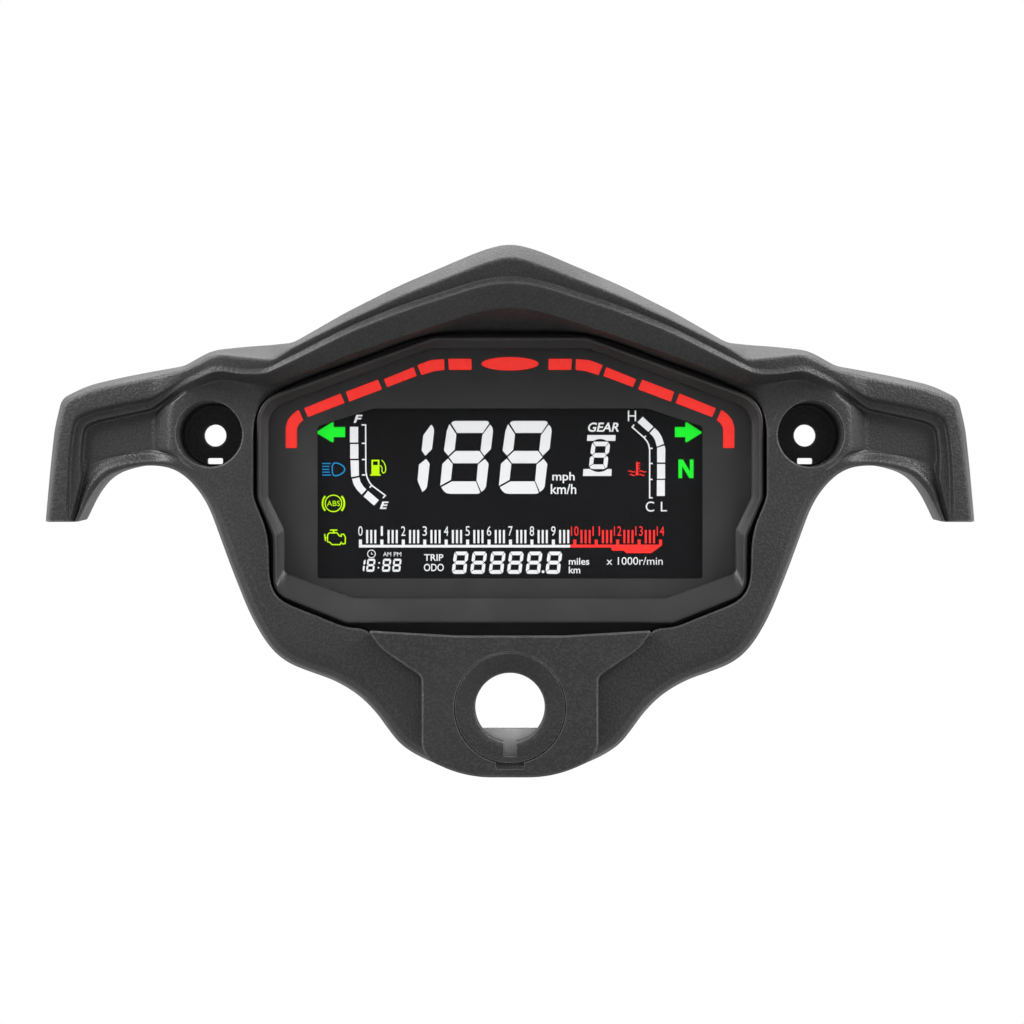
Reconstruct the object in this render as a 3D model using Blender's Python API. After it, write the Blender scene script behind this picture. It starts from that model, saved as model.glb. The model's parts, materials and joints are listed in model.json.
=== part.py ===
"""Motorcycle instrument cluster: the rear handlebar cover of an underbone motorcycle with its LCD meter.

Frame: metres, X to the rider's right, Y away from the rider, Z up, origin at the centre of the whole box.
Shapes are written in millimetres as (x, z, height). Height is the distance towards the rider from the
flat panel of the cover, so it runs along -Y, and 0 is the panel's face.
"""

import math

import bmesh
import bpy
from mathutils import Vector
from mathutils.geometry import tessellate_polygon

# ---------------------------------------------------------------- driving dimensions, in millimetres
MM = 0.001
PANEL_Y = -9.8             # Y of the cover's flat panel, which centres the whole depth on the origin
LIFT = 0.8                 # raises everything, which centres the whole height on the origin
VIEW_DISTANCE = 1180.0     # outlines marked as seen are drawn as they look from here, on the panel's plane
GAP = 0.35                 # clearance between pieces that touch

REAR = -38.0               # rear rim of the cover
WALL = 2.5                 # wall of the cover
OPENING_DEPTH = -14.0      # rear edge of the collar round the meter opening

WELL_X, WELL_Z = 113.1, 28.6
WELL_RADIUS = 12.3
WELL_FLOOR = -24.0         # face of the seat at the bottom of a well
WELL_FLOOR_WALL = 3.0
WELL_HOLE_RADIUS = 4.2
WELL_SLOT = (5.9, 2.3)     # drain slot, width and height
WELL_SLOT_DROP = 9.8       # from the well's axis down to the slot's middle

KEY_Z = -74.3              # height of the key hole's axis
KEY_RADIUS = 13.1
DISH_RADIUS = 21.2
NOTCH_WIDTH = 4.6
NOTCH_BOTTOM = -92.5
TAB_WIDTH = 9.8
KEY_PANEL_FACE = 4.2
KEY_PANEL_BACK = GAP
LOCK_CHORD_Z = -82.5       # straight lower edge of the opening in the lock plate
LOCK_PLATE_FACE = -9.0
LOCK_PLATE_THICKNESS = 2.0
LOCK_SCREW_X, LOCK_SCREW_Z = 26.5, -70.0
KEY_COVER_RADIUS = 19.5    # hole in the cover behind the key panel
PANEL_SCREW_X, PANEL_SCREW_Z = 31.0, -54.5

BEZEL_FACE = -1.8
BEZEL_LIP = -5.8
BEZEL_LIP_BACK = -7.0
BEZEL_REAR = -18.0
BEZEL_WALL = 2.0
LENS_FACE = BEZEL_LIP_BACK - GAP
LENS_THICKNESS = 1.8
MASK_FACE = -10.8
MASK_THICKNESS = 0.8
DISPLAY_HALF_WIDTH = 72.4
DISPLAY_BOTTOM, DISPLAY_TOP = -25.8, 38.2
GLASS_FACE = -13.6
GLASS_THICKNESS = 1.1
BOARD_FACE = -22.6
BOARD_THICKNESS = 1.6
CASE_RIM = -13.6
CASE_FLOOR = -31.0
CASE_BACK = -33.2
EAR_FACE = -20.6
EAR_THICKNESS = 3.0
EAR_RADIUS = 5.0
EAR_HOLE_RADIUS = 2.9
SCREW_RADIUS = 1.6
# Right-hand ears of the rear case: inner end, screw centre, and where the cover's boss starts.
EARS = (((86.6, -9.0), (99.5, -9.0), -1.2), ((55.9, 52.2), (60.0, 63.5), 12.8))
BOSS_RADIUS = 4.2
BOSS_END = -19.2
BOSS_HOLE_TOP = -8.0
CASE_SCREWS = ((79.9, 20.0), (79.9, -18.0))
BUTTONS = (("mode", -34.0), ("set", 34.0))
BUTTON_Z = -22.0
BUTTON_RADIUS = 4.2
BUTTON_END = -37.5
BUTTON_INNER = -29.9
CONNECTOR_Z = 14.0
CONNECTOR_SIZE = (34.0, 10.0)
CONNECTOR_END = -42.6
VENT_X = 62.0

ARC_STEPS = 3              # facets in a filleted corner
ROUND_STEPS = 24           # facets round a turned piece
SMOOTH_ANGLE = math.radians(32)

# ---------------------------------------------------------------- the cover's control sections
# Each station is a section from the meter opening out to the cover's edge, on the right-hand half.
# Hood: opening, moulded line, ridge, foot of the front band, bevel, rear edge.
HOOD = (
    ((0, 66.7, -6), (0, 76.3, 16), (0, 85.4, 22.5), (0, 87.8, 20.5), (0, 95.5, 23), (0, 100.4, 12)),
    ((26, 66.7, -6), (11, 74.9, 15.8), (10.6, 84.2, 22.2),
     (10.4, 86.6, 20.2), (10, 92.6, 22.6), (9.8, 98.1, 12)),
    ((38.5, 63.8, -6), (38.5, 65.9, 14), (40.5, 74.4, 20.5),
     (41, 76.8, 18.6), (41.4, 80.3, 20.8), (41.4, 84.6, 10)),
    ((57, 56.6, -6), (59.3, 58.7, 11), (60.5, 66.6, 17),
     (60.9, 68.7, 15.3), (61.3, 71.4, 17.3), (61.7, 74.4, 7)),
    ((76, 49.8, -6), (79, 51.0, 5.5), (82.3, 55.6, 11.5),
     (82.9, 57.4, 10.3), (83.4, 60.6, 12), (81.5, 63, 1)),
    ((86.5, 45.3, -5), (88.9, 47.1, 2), (92.4, 51.1, 8.8),
     (91.6, 53.0, 8.2), (89.5, 56.4, 9.5), (90, 62.1, -8)),
    ((92.8, 41.0, -4), (97.5, 47.5, 1), (101.5, 51.0, 8.2),
     (101.3, 52.9, 7.6), (100, 57.4, 8.6), (99, 61.5, -12)),
    ((95.6, 36, -2), (109, 49.3, 1), (110.2, 52.6, 7.5),
     (110.7, 54.7, 6.9), (110.8, 58.9, 7.4), (112, 60.1, -10)),
    ((96.5, 31, -1), (120.4, 45.2, 0.4), (121.4, 47.6, 3.2),
     (121.8, 49.4, 2.8), (121.8, 52.8, 4), (122.6, 54.2, -9)),
)
# Wing: opening, panel, foot of the slope, recess, step, ledge, rib edge, rear edge.
WING = (
    ((96.7, 28, 0), (127.6, 40, 0), (133.2, 37.0, -8), (133.8, 37.2, -8),
     (134.5, 37.4, -8), (135, 40.4, -4), (133.5, 50.2, -0.6), (134, 52.2, -13)),
    ((96.7, 25, 0), (128, 35.5, 0), (133.8, 33.6, -8), (141, 32.4, -8),
     (146, 34.9, -8), (147, 38.4, -4), (145.5, 47.7, -1), (146, 49.9, -14)),
    ((96.7, 22, 0), (128.1, 32, 0), (134, 31, -8), (149, 29, -8),
     (156.6, 32.6, -8), (158.4, 35.7, -4), (157.6, 45.2, -1), (158.7, 46.9, -14)),
    ((96.7, 19.5, 0), (128.1, 29, 0), (134, 29, -8), (154, 27, -8),
     (159.6, 30.4, -8), (163.2, 33.4, -4), (167.2, 41.2, -1), (168.6, 42, -14)),
    ((96.7, 17.5, 0), (128.1, 26.6, 0), (134, 26.8, -8), (156.4, 24.8, -8),
     (160.3, 25, -8), (164.4, 27.2, -4), (169.8, 30.5, -1), (171.2, 31, -14)),
    ((96.7, 15.5, 0), (128.1, 25, 0), (134, 25.2, -8), (157.2, 22.4, -8),
     (160.6, 19.6, -8), (165.4, 16.4, -4), (171.3, 17.4, -1), (172.7, 18, -14)),
    ((96.7, 14, 0), (128.1, 24.2, 0), (133.9, 24.3, -8), (157, 21.4, -8),
     (160, 17.4, -8), (165.6, -4.3, -5), (173.6, -4.3, -1.5), (174.7, -4.5, -14)),
    ((96.7, 12.5, 0), (128.1, 23.6, 0), (133.9, 23.8, -8), (156.6, 20.9, -8),
     (159.4, 17.1, -8.2), (164.2, -4.3, -8), (163.3, -4.3, -6.6), (162.4, -4.5, -8.5)),
    ((96.7, 11, 0), (128, 23, 0), (133.8, 23.4, -8), (156, 20.4, -8),
     (158.7, 17.1, -8.2), (160.2, 9.4, -7.8), (158.6, 8, -5.6), (157.3, 6.4, -7.5)),
    ((96.7, 9.5, 0), (127.9, 22.6, 0), (133.7, 23.1, -8), (152.5, 20.3, -8),
     (155.2, 18.5, -8.2), (154.5, 17.1, -7.7), (152.6, 14.8, -5.3), (151.6, 13.2, -7)),
    ((96.7, 8, 0), (127.8, 22.2, -0.1), (133.6, 22.9, -8), (141, 21.6, -8),
     (143.5, 21, -8.2), (143.3, 20.2, -7.7), (142.7, 17.5, -5.2), (142.4, 16.2, -7)),
    ((96.7, 6.5, 0), (127.2, 21.7, -0.2), (132.6, 22.4, -7.6), (133, 22.1, -7.8),
     (133.2, 21.8, -8), (133.4, 21, -7.5), (133.7, 18.2, -5), (133.9, 16.9, -7)),
    ((96.3, 4, 0), (123.6, 19.6, -0.2), (124.2, 19.4, -0.7), (124.4, 19.3, -0.9),
     (124.6, 19.2, -1.2), (124.9, 18.6, -1.6), (126, 16.7, -3), (126.6, 15.6, -7)),
    ((94.5, -0.5, 0), (116.9, 15.2, -0.1), (117.2, 14.9, -0.3), (117.4, 14.7, -0.5),
     (117.6, 14.5, -0.8), (118, 14, -1.2), (119.6, 12.3, -3.2), (120.3, 11.3, -8)),
)
ARCH_START = 7             # the wing's first section that lies on the arch under it
# Lower half: the cover's edge and the meter opening. Everything between follows from insets.
LOWER = (
    ((113.8, 2.8), (92.3, -5.8)),
    ((109, -10.2), (90.8, -13)),
    ((104.5, -22.6), (90.8, -25.8)),
    ((97.5, -40), (88.6, -31.8)),
    ((91, -51.1), (84.3, -35.2)),
    ((84.2, -57.3), (78, -37.8)),
    ((75.2, -60.9), (71, -40.5)),
    ((66.2, -63.9), (62, -44.3)),
    ((57.2, -69.2), (54.4, -44.6)),
    ((50.5, -75.8), (51.6, -48.2)),
    ((45.9, -82.3), (40, -48.2)),
    ((41.2, -88.3), (28, -48.2)),
    ((34, -92.9), (20, -48.2)),
    ((24, -97), (13, -48.2)),
    ((12, -99.4), (6.5, -48.2)),
    ((0, -99.9), (0, -48.2)),
)
# How far each row of the lower half lies inside the edge, and its height.
LOWER_ROWS = (("panel", 8.0, 0.0), ("foot", 7.0, -0.1), ("recess", 6.2, -0.2), ("step", 5.4, -0.5),
              ("ledge", 3.4, -1.0), ("rib", 1.1, -3.8), ("edge", 0.0, -12.5))


# ---------------------------------------------------------------- outlines, as lists of (x, z)
def seen(outline, height):
    """An outline drawn as it is seen, at the true size it has at its own height."""
    growth = 1 - height / VIEW_DISTANCE
    return [(corner[0] * growth, corner[1] * growth) + tuple(corner[2:]) for corner in outline]


def seen_point(x, z, height):
    growth = 1 - height / VIEW_DISTANCE
    return (x * growth, z * growth, height)


def signed_area(loop):
    return sum(a[0] * b[1] - b[0] * a[1] for a, b in zip(loop, loop[1:] + loop[:1])) / 2


def offset(loop, distance):
    """The outline grown by a distance, or shrunk by a negative one, with mitred corners."""
    side = 1 if signed_area(loop) > 0 else -1
    grown = []
    for before, here, after in zip(loop[-1:] + loop[:-1], loop, loop[1:] + loop[:1]):
        into = Vector((here[0] - before[0], here[1] - before[1])).normalized()
        out = Vector((after[0] - here[0], after[1] - here[1])).normalized()
        normal_in = Vector((into.y, -into.x)) * side
        normal_out = Vector((out.y, -out.x)) * side
        mitre = (normal_in + normal_out).normalized()
        reach = distance / max(0.5, mitre.dot(normal_in))
        grown.append((here[0] + mitre.x * reach, here[1] + mitre.y * reach))
    return grown


def filleted(corners, steps=ARC_STEPS):
    """A closed outline through (x, z, radius) corners, each rounded by an arc."""
    points = []
    for before, here, after in zip(corners[-1:] + corners[:-1], corners, corners[1:] + corners[:1]):
        corner = Vector(here[:2])
        back = (Vector(before[:2]) - corner).normalized()
        ahead = (Vector(after[:2]) - corner).normalized()
        half = back.angle(ahead) / 2
        centre = corner + (back + ahead).normalized() * (here[2] / math.sin(half))
        start = corner + back * (here[2] / math.tan(half)) - centre
        end = corner + ahead * (here[2] / math.tan(half)) - centre
        turn = start.angle_signed(end)
        for step in range(steps + 1):
            angle = -turn * step / steps
            x = start.x * math.cos(angle) - start.y * math.sin(angle)
            z = start.x * math.sin(angle) + start.y * math.cos(angle)
            points.append((centre.x + x, centre.y + z))
    return points


def mirrored(half):
    """Both halves of a symmetric outline, from its right-hand corners read top to bottom."""
    return list(half) + [(-corner[0],) + tuple(corner[1:]) for corner in reversed(half)]


def circle(x, z, radius, steps=ROUND_STEPS):
    turn = 2 * math.pi / steps
    return [(x + radius * math.cos(turn * i), z + radius * math.sin(turn * i)) for i in range(steps)]


def rectangle(x, z, width, height):
    right, top = width / 2, height / 2
    return [(x - right, z - top), (x + right, z - top), (x + right, z + top), (x - right, z + top)]


# ---------------------------------------------------------------- solids
MATERIALS = {}


def material(name, colour, roughness, metallic=0.0):
    if name not in MATERIALS:
        made = bpy.data.materials.new(name)
        made.use_nodes = True
        shader = made.node_tree.nodes["Principled BSDF"]
        shader.inputs["Base Color"].default_value = (*colour, 1.0)
        shader.inputs["Roughness"].default_value = roughness
        shader.inputs["Metallic"].default_value = metallic
        MATERIALS[name] = made
    return MATERIALS[name]


def abs_black():
    return material("textured_black_abs", (0.045, 0.045, 0.045), 0.55)


def dark_plastic():
    return material("dark_plastic", (0.02, 0.02, 0.022), 0.45)


def rubber():
    return material("black_rubber", (0.015, 0.015, 0.015), 0.8)


def steel():
    return material("zinc_plated_steel", (0.6, 0.6, 0.58), 0.35, 1.0)


def white_plastic():
    return material("white_plastic", (0.8, 0.8, 0.78), 0.5)


def chip_plastic():
    return material("chip_plastic", (0.03, 0.03, 0.03), 0.6)


def place(x, z, height):
    """The point in metres for a place in the part's own millimetres."""
    return Vector((x * MM, (PANEL_Y - height) * MM, (z + LIFT) * MM))


def body(name, vertices, faces, finish, origin=(0.0, 0.0, 0.0)):
    """A named object from (x, z, height) vertices in millimetres, with its origin at a point in metres."""
    centre = Vector(origin)
    places = [place(*vertex) - centre for vertex in vertices]
    mesh = bpy.data.meshes.new(name)
    mesh.from_pydata(places, [], faces)
    mesh.materials.append(finish)
    made = bpy.data.objects.new(name, mesh)
    made.location = centre
    bpy.context.collection.objects.link(made)
    face_out(mesh)
    return made


def face_out(mesh):
    """Turns every face outwards and shades the gentle bends smooth."""
    solid = bmesh.new()
    solid.from_mesh(mesh)
    bmesh.ops.remove_doubles(solid, verts=solid.verts, dist=1e-6)
    bmesh.ops.recalc_face_normals(solid, faces=solid.faces)
    solid.to_mesh(mesh)
    solid.free()
    mesh.shade_smooth()
    mesh.set_sharp_from_angle(angle=SMOOTH_ANGLE)


def ring_faces(first, second, count):
    """Quads between two closed rows of vertices that start at the given indices."""
    return [(first + i, first + (i + 1) % count, second + (i + 1) % count, second + i)
            for i in range(count)]


def cap_faces(loops, starts):
    """Triangles over a flat outline with holes; starts says where each loop's vertices begin."""
    index = [start + i for loop, start in zip(loops, starts) for i in range(len(loop))]
    flat = [[Vector((x, z, 0.0)) for x, z in loop] for loop in loops]
    return [tuple(index[i] for i in triangle) for triangle in tessellate_polygon(flat)]


def plate(name, outer, holes, face, back, finish):
    """A flat plate between two heights, with holes through it."""
    loops = [outer] + list(holes)
    vertices, faces, fronts, backs = [], [], [], []
    for loop in loops:
        fronts.append(len(vertices))
        vertices += [(x, z, face) for x, z in loop]
        backs.append(len(vertices))
        vertices += [(x, z, back) for x, z in loop]
        faces += ring_faces(fronts[-1], backs[-1], len(loop))
    faces += cap_faces(loops, fronts) + cap_faces(loops, backs)
    return body(name, vertices, faces, finish)


def lofted_ring(name, rows, finish):
    """A closed ring through rows of (x, z, height) points, the last row joined to the first."""
    count = len(rows[0])
    vertices = [point for row in rows for point in row]
    faces = []
    for i in range(len(rows)):
        faces += ring_faces(i * count, (i + 1) % len(rows) * count, count)
    return body(name, vertices, faces, finish)


def stacked(name, sections, finish, origin=(0.0, 0.0, 0.0)):
    """A solid through (outline, height) sections, closed by a flat cap at each end."""
    count = len(sections[0][0])
    vertices = [(x, z, height) for outline, height in sections for x, z in outline]
    faces = []
    for i in range(len(sections) - 1):
        faces += ring_faces(i * count, (i + 1) * count, count)
    last = (len(sections) - 1) * count
    faces += cap_faces([sections[0][0]], [0]) + cap_faces([sections[-1][0]], [last])
    return body(name, vertices, faces, finish, origin)


def tub(name, outer, inner, holes, rim, floor, back, finish):
    """An open box: walls from its rim to its back, and a floor with holes through it."""
    vertices = [(x, z, rim) for x, z in outer] + [(x, z, back) for x, z in outer]
    vertices += [(x, z, rim) for x, z in inner] + [(x, z, floor) for x, z in inner]
    wide, narrow = len(outer), len(inner)
    faces = ring_faces(0, wide, wide) + ring_faces(2 * wide, 2 * wide + narrow, narrow)
    faces += cap_faces([outer, inner], [0, 2 * wide])
    floors, backs = [2 * wide + narrow], [wide]
    for hole in holes:
        floors.append(len(vertices))
        vertices += [(x, z, floor) for x, z in hole]
        backs.append(len(vertices))
        vertices += [(x, z, back) for x, z in hole]
        faces += ring_faces(floors[-1], backs[-1], len(hole))
    faces += cap_faces([inner] + holes, floors) + cap_faces([outer] + holes, backs)
    return body(name, vertices, faces, finish)


def turned(name, x, z, profile, finish, steps=ROUND_STEPS, origin=(0.0, 0.0, 0.0)):
    """A solid turned about an axis along Y, from (radius, height) sections between two flat ends."""
    sections = [(circle(x, z, radius, steps), height) for radius, height in profile]
    return stacked(name, sections, finish, origin)


def collar(name, x, z, profile, finish, steps=ROUND_STEPS):
    """A turned ring through (radius, height) points that go once round its section."""
    rows = [[(px, pz, height) for px, pz in circle(x, z, radius, steps)] for radius, height in profile]
    return lofted_ring(name, rows, finish)


def combined(target, others, operation):
    """The target with every other object joined to it or cut from it; the others are used up."""
    finish = target.data.materials[0]
    for other in others:
        step = target.modifiers.new(operation.lower(), "BOOLEAN")
        step.operation = operation
        step.object = other
        shape = target.evaluated_get(bpy.context.evaluated_depsgraph_get())
        mesh = bpy.data.meshes.new_from_object(shape)
        target.modifiers.remove(step)
        old = target.data
        target.data = mesh
        bpy.data.meshes.remove(old)
        bpy.data.objects.remove(other)
    target.data.name = target.name
    target.data.materials.clear()
    target.data.materials.append(finish)
    face_out(target.data)
    return target


# ---------------------------------------------------------------- the handlebar cover
def blended(a, b, share):
    return tuple(p + (q - p) * share for p, q in zip(a, b))


def lower_sections():
    """The lower half's sections, made from insets of the cover's edge."""
    half = [edge for edge, _ in LOWER]
    above = WING[-1][-1][:2]
    loop = [above] + half + [(-x, z) for x, z in reversed(half[:-1])] + [(-above[0], above[1])]
    insets = {name: offset(loop, -distance) for name, distance, _ in LOWER_ROWS}
    sections = []
    for i, (_, opening) in enumerate(LOWER):
        rows = [(*opening, 0.0)]
        rows += [(*insets[name][i + 1], height) for name, _, height in LOWER_ROWS]
        sections.append(rows)
    return sections


def cover_sections():
    """Every section of the right-hand half as the same 10 points, from the opening to the edge.

    On the wing's outside the recess ends in a steep step; from the arch on its wall slopes evenly.
    """
    sections = []
    for opening, line, ridge, foot, bevel, edge in HOOD:
        slope = [blended(line, ridge, share) for share in (0.35, 0.7)]
        sections.append([opening, line, *slope, ridge, blended(ridge, foot, 0.4),
                         foot, blended(foot, bevel, 0.12), bevel, edge])
    for i, station in enumerate(WING + tuple(lower_sections())):
        opening, panel, foot, recess, step, ledge, rib, edge = station
        riser = blended(step, ledge, 0.25)
        rise = blended(ledge, rib, 0.2)
        if i < ARCH_START:
            riser = (riser[0], riser[1], ledge[2])
            rise = (rise[0], rise[1], rib[2])
        sections.append([opening, panel, foot, recess, step, riser, ledge, rise, rib, edge])
    return [[seen_point(*point) for point in section] for section in sections]


def both_sides(row):
    """A row of the right-hand half from the top centre to the bottom centre, closed by its mirror image."""
    return row + [(-x, z, height) for x, z, height in reversed(row[1:-1])]


def moved(row, distance, height=None, drop=0.0):
    """A closed row grown in plan, at its own height less a drop or at a given one."""
    plan = offset([point[:2] for point in row], distance)
    return [(x, z, point[2] - drop if height is None else height) for (x, z), point in zip(plan, row)]


def between(first, second, share):
    return [blended(a, b, share) for a, b in zip(first, second)]


def lowered(row, drop):
    return [(x, z, height - drop) for x, z, height in row]


def cover_shell():
    sections = cover_sections()
    rows = [both_sides([section[i] for section in sections]) for i in range(len(sections[0]))]
    opening, panel, foot, recess, step, _, ledge, _, rib, edge = rows
    collar_rear = [(x, z, OPENING_DEPTH) for x, z, _ in opening]
    outside = [collar_rear] + rows + [moved(edge, -0.8, height=REAR)]
    inside = [
        moved(edge, -0.8 - WALL, height=REAR),
        moved(edge, -WALL, drop=1.0),
        moved(rib, -1.6, drop=2.8),
        lowered(between(ledge, recess, 0.15), 2.6),
        lowered(between(step, recess, 0.15), 2.6),
        lowered(recess, 2.6),
        lowered(foot, 2.6),
        lowered(between(panel, foot, 0.3), 2.8),
        moved(opening, WALL, drop=2.8),
        moved(opening, WALL, height=OPENING_DEPTH),
    ]
    return lofted_ring("handle_cover", outside + inside, abs_black())


def boss(x, z, radius, top, end, steps=12):
    return turned("boss", x, z, ((radius, top), (radius, end)), abs_black(), steps)


def meter_boss(x, z, top):
    """A boss for a meter screw, with a tapered top that stays inside the hood's sloping wall."""
    sections = ((BOSS_RADIUS * 0.45, top), (BOSS_RADIUS, top - 2.6), (BOSS_RADIUS, BOSS_END))
    return turned("boss", x, z, sections, abs_black(), 12)


def wells(side):
    """The cup of a well and the cuts in it: its bore, the fixing hole and the drain slot."""
    x = side * WELL_X
    floor_back = WELL_FLOOR - WELL_FLOOR_WALL
    cut_end = floor_back - 5
    cup = boss(x, WELL_Z, WELL_RADIUS + WALL, -0.9, floor_back, ROUND_STEPS)
    bore = boss(x, WELL_Z, WELL_RADIUS, 5, WELL_FLOOR, ROUND_STEPS)
    hole = boss(x, WELL_Z, WELL_HOLE_RADIUS, 6, cut_end, ROUND_STEPS)
    slot = plate("slot", rectangle(x, WELL_Z - WELL_SLOT_DROP, *WELL_SLOT), [], -10, cut_end, abs_black())
    return cup, (bore, hole, slot)


def handle_cover():
    cover = cover_shell()
    cups, cuts = [], []
    for side in (-1, 1):
        cup, cut = wells(side)
        cups.append(cup)
        cuts.extend(cut)
        for _, (x, z), top in EARS:
            cups.append(meter_boss(side * x, z, top))
            cuts.append(boss(side * x, z, SCREW_RADIUS + GAP, BOSS_HOLE_TOP, REAR))
        cups.append(boss(side * LOCK_SCREW_X, LOCK_SCREW_Z, BOSS_RADIUS, -1.2, LOCK_PLATE_FACE + GAP))
        cuts.append(boss(side * LOCK_SCREW_X, LOCK_SCREW_Z, SCREW_RADIUS + GAP, -1.5, LOCK_PLATE_FACE - 5))
        cuts.append(boss(side * PANEL_SCREW_X, PANEL_SCREW_Z, SCREW_RADIUS + GAP, 5, -6))
    combined(cover, cups, "UNION")
    cuts.append(boss(0, KEY_Z, KEY_COVER_RADIUS, 5, -8, ROUND_STEPS))
    return combined(cover, cuts, "DIFFERENCE")


# ---------------------------------------------------------------- key panel, ring and lock plate
KEY_PANEL_OUTLINE = ((20, -47.3, 40), (53.4, -45.4, 0.6), (48.6, -52.3, 20), (33.2, -62.7, 4),
                     (33.2, -93.1, 9), (16.4, -100.6, 45))


def key_panel():
    outline = filleted(seen(mirrored(KEY_PANEL_OUTLINE), KEY_PANEL_FACE))
    shoulder = KEY_PANEL_FACE - 1.0
    panel = stacked("key_panel", ((outline, KEY_PANEL_BACK), (outline, shoulder),
                                  (offset(outline, -1.0), KEY_PANEL_FACE)), abs_black())
    seat = turned("seat", 0, KEY_Z, ((DISH_RADIUS, 8), (DISH_RADIUS, -3)), abs_black(), 36)
    tab_z = KEY_Z - DISH_RADIUS
    notch = plate("notch", rectangle(0, tab_z, TAB_WIDTH + 0.6, 3.0), [], 8, -3, abs_black())
    screws = [boss(side * PANEL_SCREW_X, PANEL_SCREW_Z, SCREW_RADIUS + GAP, 2.8, -3) for side in (-1, 1)]
    return combined(panel, [seat, notch, *screws], "DIFFERENCE")


def key_escutcheon():
    edge = DISH_RADIUS - GAP
    neck = KEY_RADIUS + 2.1
    ring = collar("key_escutcheon", 0, KEY_Z, (
        (edge, GAP), (edge, 3.0), (edge - 0.6, 3.4), (KEY_RADIUS + 1.0, 2.0), (KEY_RADIUS, 1.4),
        (KEY_RADIUS, -7.5), (neck, -7.5), (neck, -0.2)), abs_black(), 36)
    tab_z = KEY_Z - edge
    tab = plate("tab", rectangle(0, tab_z, TAB_WIDTH, 2.2), [], 2.6, GAP + 0.1, abs_black())
    combined(ring, [tab], "UNION")
    middle = (KEY_Z + NOTCH_BOTTOM) / 2
    notch = plate("notch", rectangle(0, middle, NOTCH_WIDTH, KEY_Z - NOTCH_BOTTOM), [], 8, -12, abs_black())
    return combined(ring, [notch], "DIFFERENCE")


def lock_opening():
    """The lock plate's opening: a circle with a straight lower edge."""
    radius = KEY_RADIUS + 2.2
    drop = KEY_Z - LOCK_CHORD_Z
    start = -math.asin(drop / radius)
    sweep = math.pi - 2 * start
    angles = [start + sweep * step / ROUND_STEPS for step in range(ROUND_STEPS + 1)]
    return [(radius * math.cos(angle), KEY_Z + radius * math.sin(angle)) for angle in angles]


def lock_plate():
    half = ((32, -57, 3), (32, -80, 4), (14, -95, 4))
    holes = [circle(side * LOCK_SCREW_X, LOCK_SCREW_Z, SCREW_RADIUS + GAP, 12) for side in (-1, 1)]
    return plate("lock_plate", filleted(mirrored(half)), [lock_opening(), *holes],
                 LOCK_PLATE_FACE, LOCK_PLATE_FACE - LOCK_PLATE_THICKNESS, steel())


def screw(name, x, z, head_face, tip, head_radius=3.2, head_height=2.0):
    """A pan-head screw driven from behind: its head's face, and its tip further forward."""
    return turned(name, x, z, (
        (SCREW_RADIUS * 0.5, tip), (SCREW_RADIUS, tip - 1.2), (SCREW_RADIUS, head_face),
        (head_radius, head_face), (head_radius, head_face - head_height * 0.6),
        (head_radius * 0.6, head_face - head_height)), steel(), 16)


def key_fasteners():
    for side, word in ((-1, "left"), (1, "right")):
        screw(f"lock_plate_screw_{word}", side * LOCK_SCREW_X, LOCK_SCREW_Z,
              LOCK_PLATE_FACE - LOCK_PLATE_THICKNESS - GAP, -2.0)
        screw(f"key_panel_screw_{word}", side * PANEL_SCREW_X, PANEL_SCREW_Z, -2.6 - GAP, 2.4)


# ---------------------------------------------------------------- the meter's front
BEZEL_OUTER = ((29, 65.4, 6), (95.4, 41.3, 12), (95.4, 4.5, 5),
               (89.4, -9.8, 5), (89.3, -31.5, 8), (61.5, -42.7, 5))
BEZEL_INNER = ((30, 60.9, 6), (90.8, 38.0, 9), (90.8, 4.9, 3),
               (84.8, -7.5, 3), (84.8, -23.6, 2.5), (58.8, -33.2, 3))
# The bezel's rear flange closes the gap to the cover's collar from behind, widest along the bottom.
BEZEL_FLANGE = ((29.8, 68.0, 6), (97.9, 43.2, 12), (97.9, 4.2, 5),
                (91.9, -10.1, 5), (91.9, -33.4, 8), (62.8, -48.6, 5))
FLANGE_FACE = -16.0
CASE_CLEARANCE = 0.4       # between the bezel's wall and what slides into it


def bezel_outline(inset=0.0):
    return offset(filleted(mirrored(BEZEL_OUTER)), -inset)


def inner_outline(growth=0.0):
    return offset(filleted(seen(mirrored(BEZEL_INNER), BEZEL_LIP)), growth)


def levelled(outline, height):
    return [(x, z, height) for x, z in outline]


def meter_bezel():
    outer, cavity, window = bezel_outline(), bezel_outline(BEZEL_WALL), inner_outline()
    flange = filleted(mirrored(BEZEL_FLANGE))
    return lofted_ring("meter_bezel", [
        levelled(flange, BEZEL_REAR), levelled(flange, FLANGE_FACE),
        levelled(outer, FLANGE_FACE), levelled(outer, BEZEL_FACE - 0.8),
        levelled(bezel_outline(0.8), BEZEL_FACE), levelled(window, BEZEL_LIP),
        levelled(window, BEZEL_LIP_BACK), levelled(cavity, BEZEL_LIP_BACK),
        levelled(cavity, BEZEL_REAR)], material("satin_black_plastic", (0.05, 0.05, 0.052), 0.4))


def lens():
    glazing = material("tinted_acrylic", (0.03, 0.03, 0.035), 0.05)
    fit = bezel_outline(BEZEL_WALL + CASE_CLEARANCE)
    return plate("lens", fit, [], LENS_FACE, LENS_FACE - LENS_THICKNESS, glazing)


def gaskets():
    fit = bezel_outline(BEZEL_WALL + CASE_CLEARANCE)
    lens_back = LENS_FACE - LENS_THICKNESS - GAP
    plate("lens_gasket", fit, [inner_outline(0.3)], lens_back, MASK_FACE + GAP, rubber())
    mask_back = MASK_FACE - MASK_THICKNESS - GAP
    plate("case_gasket", fit, [bezel_outline(4.6)], mask_back, CASE_RIM + GAP, rubber())


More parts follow.
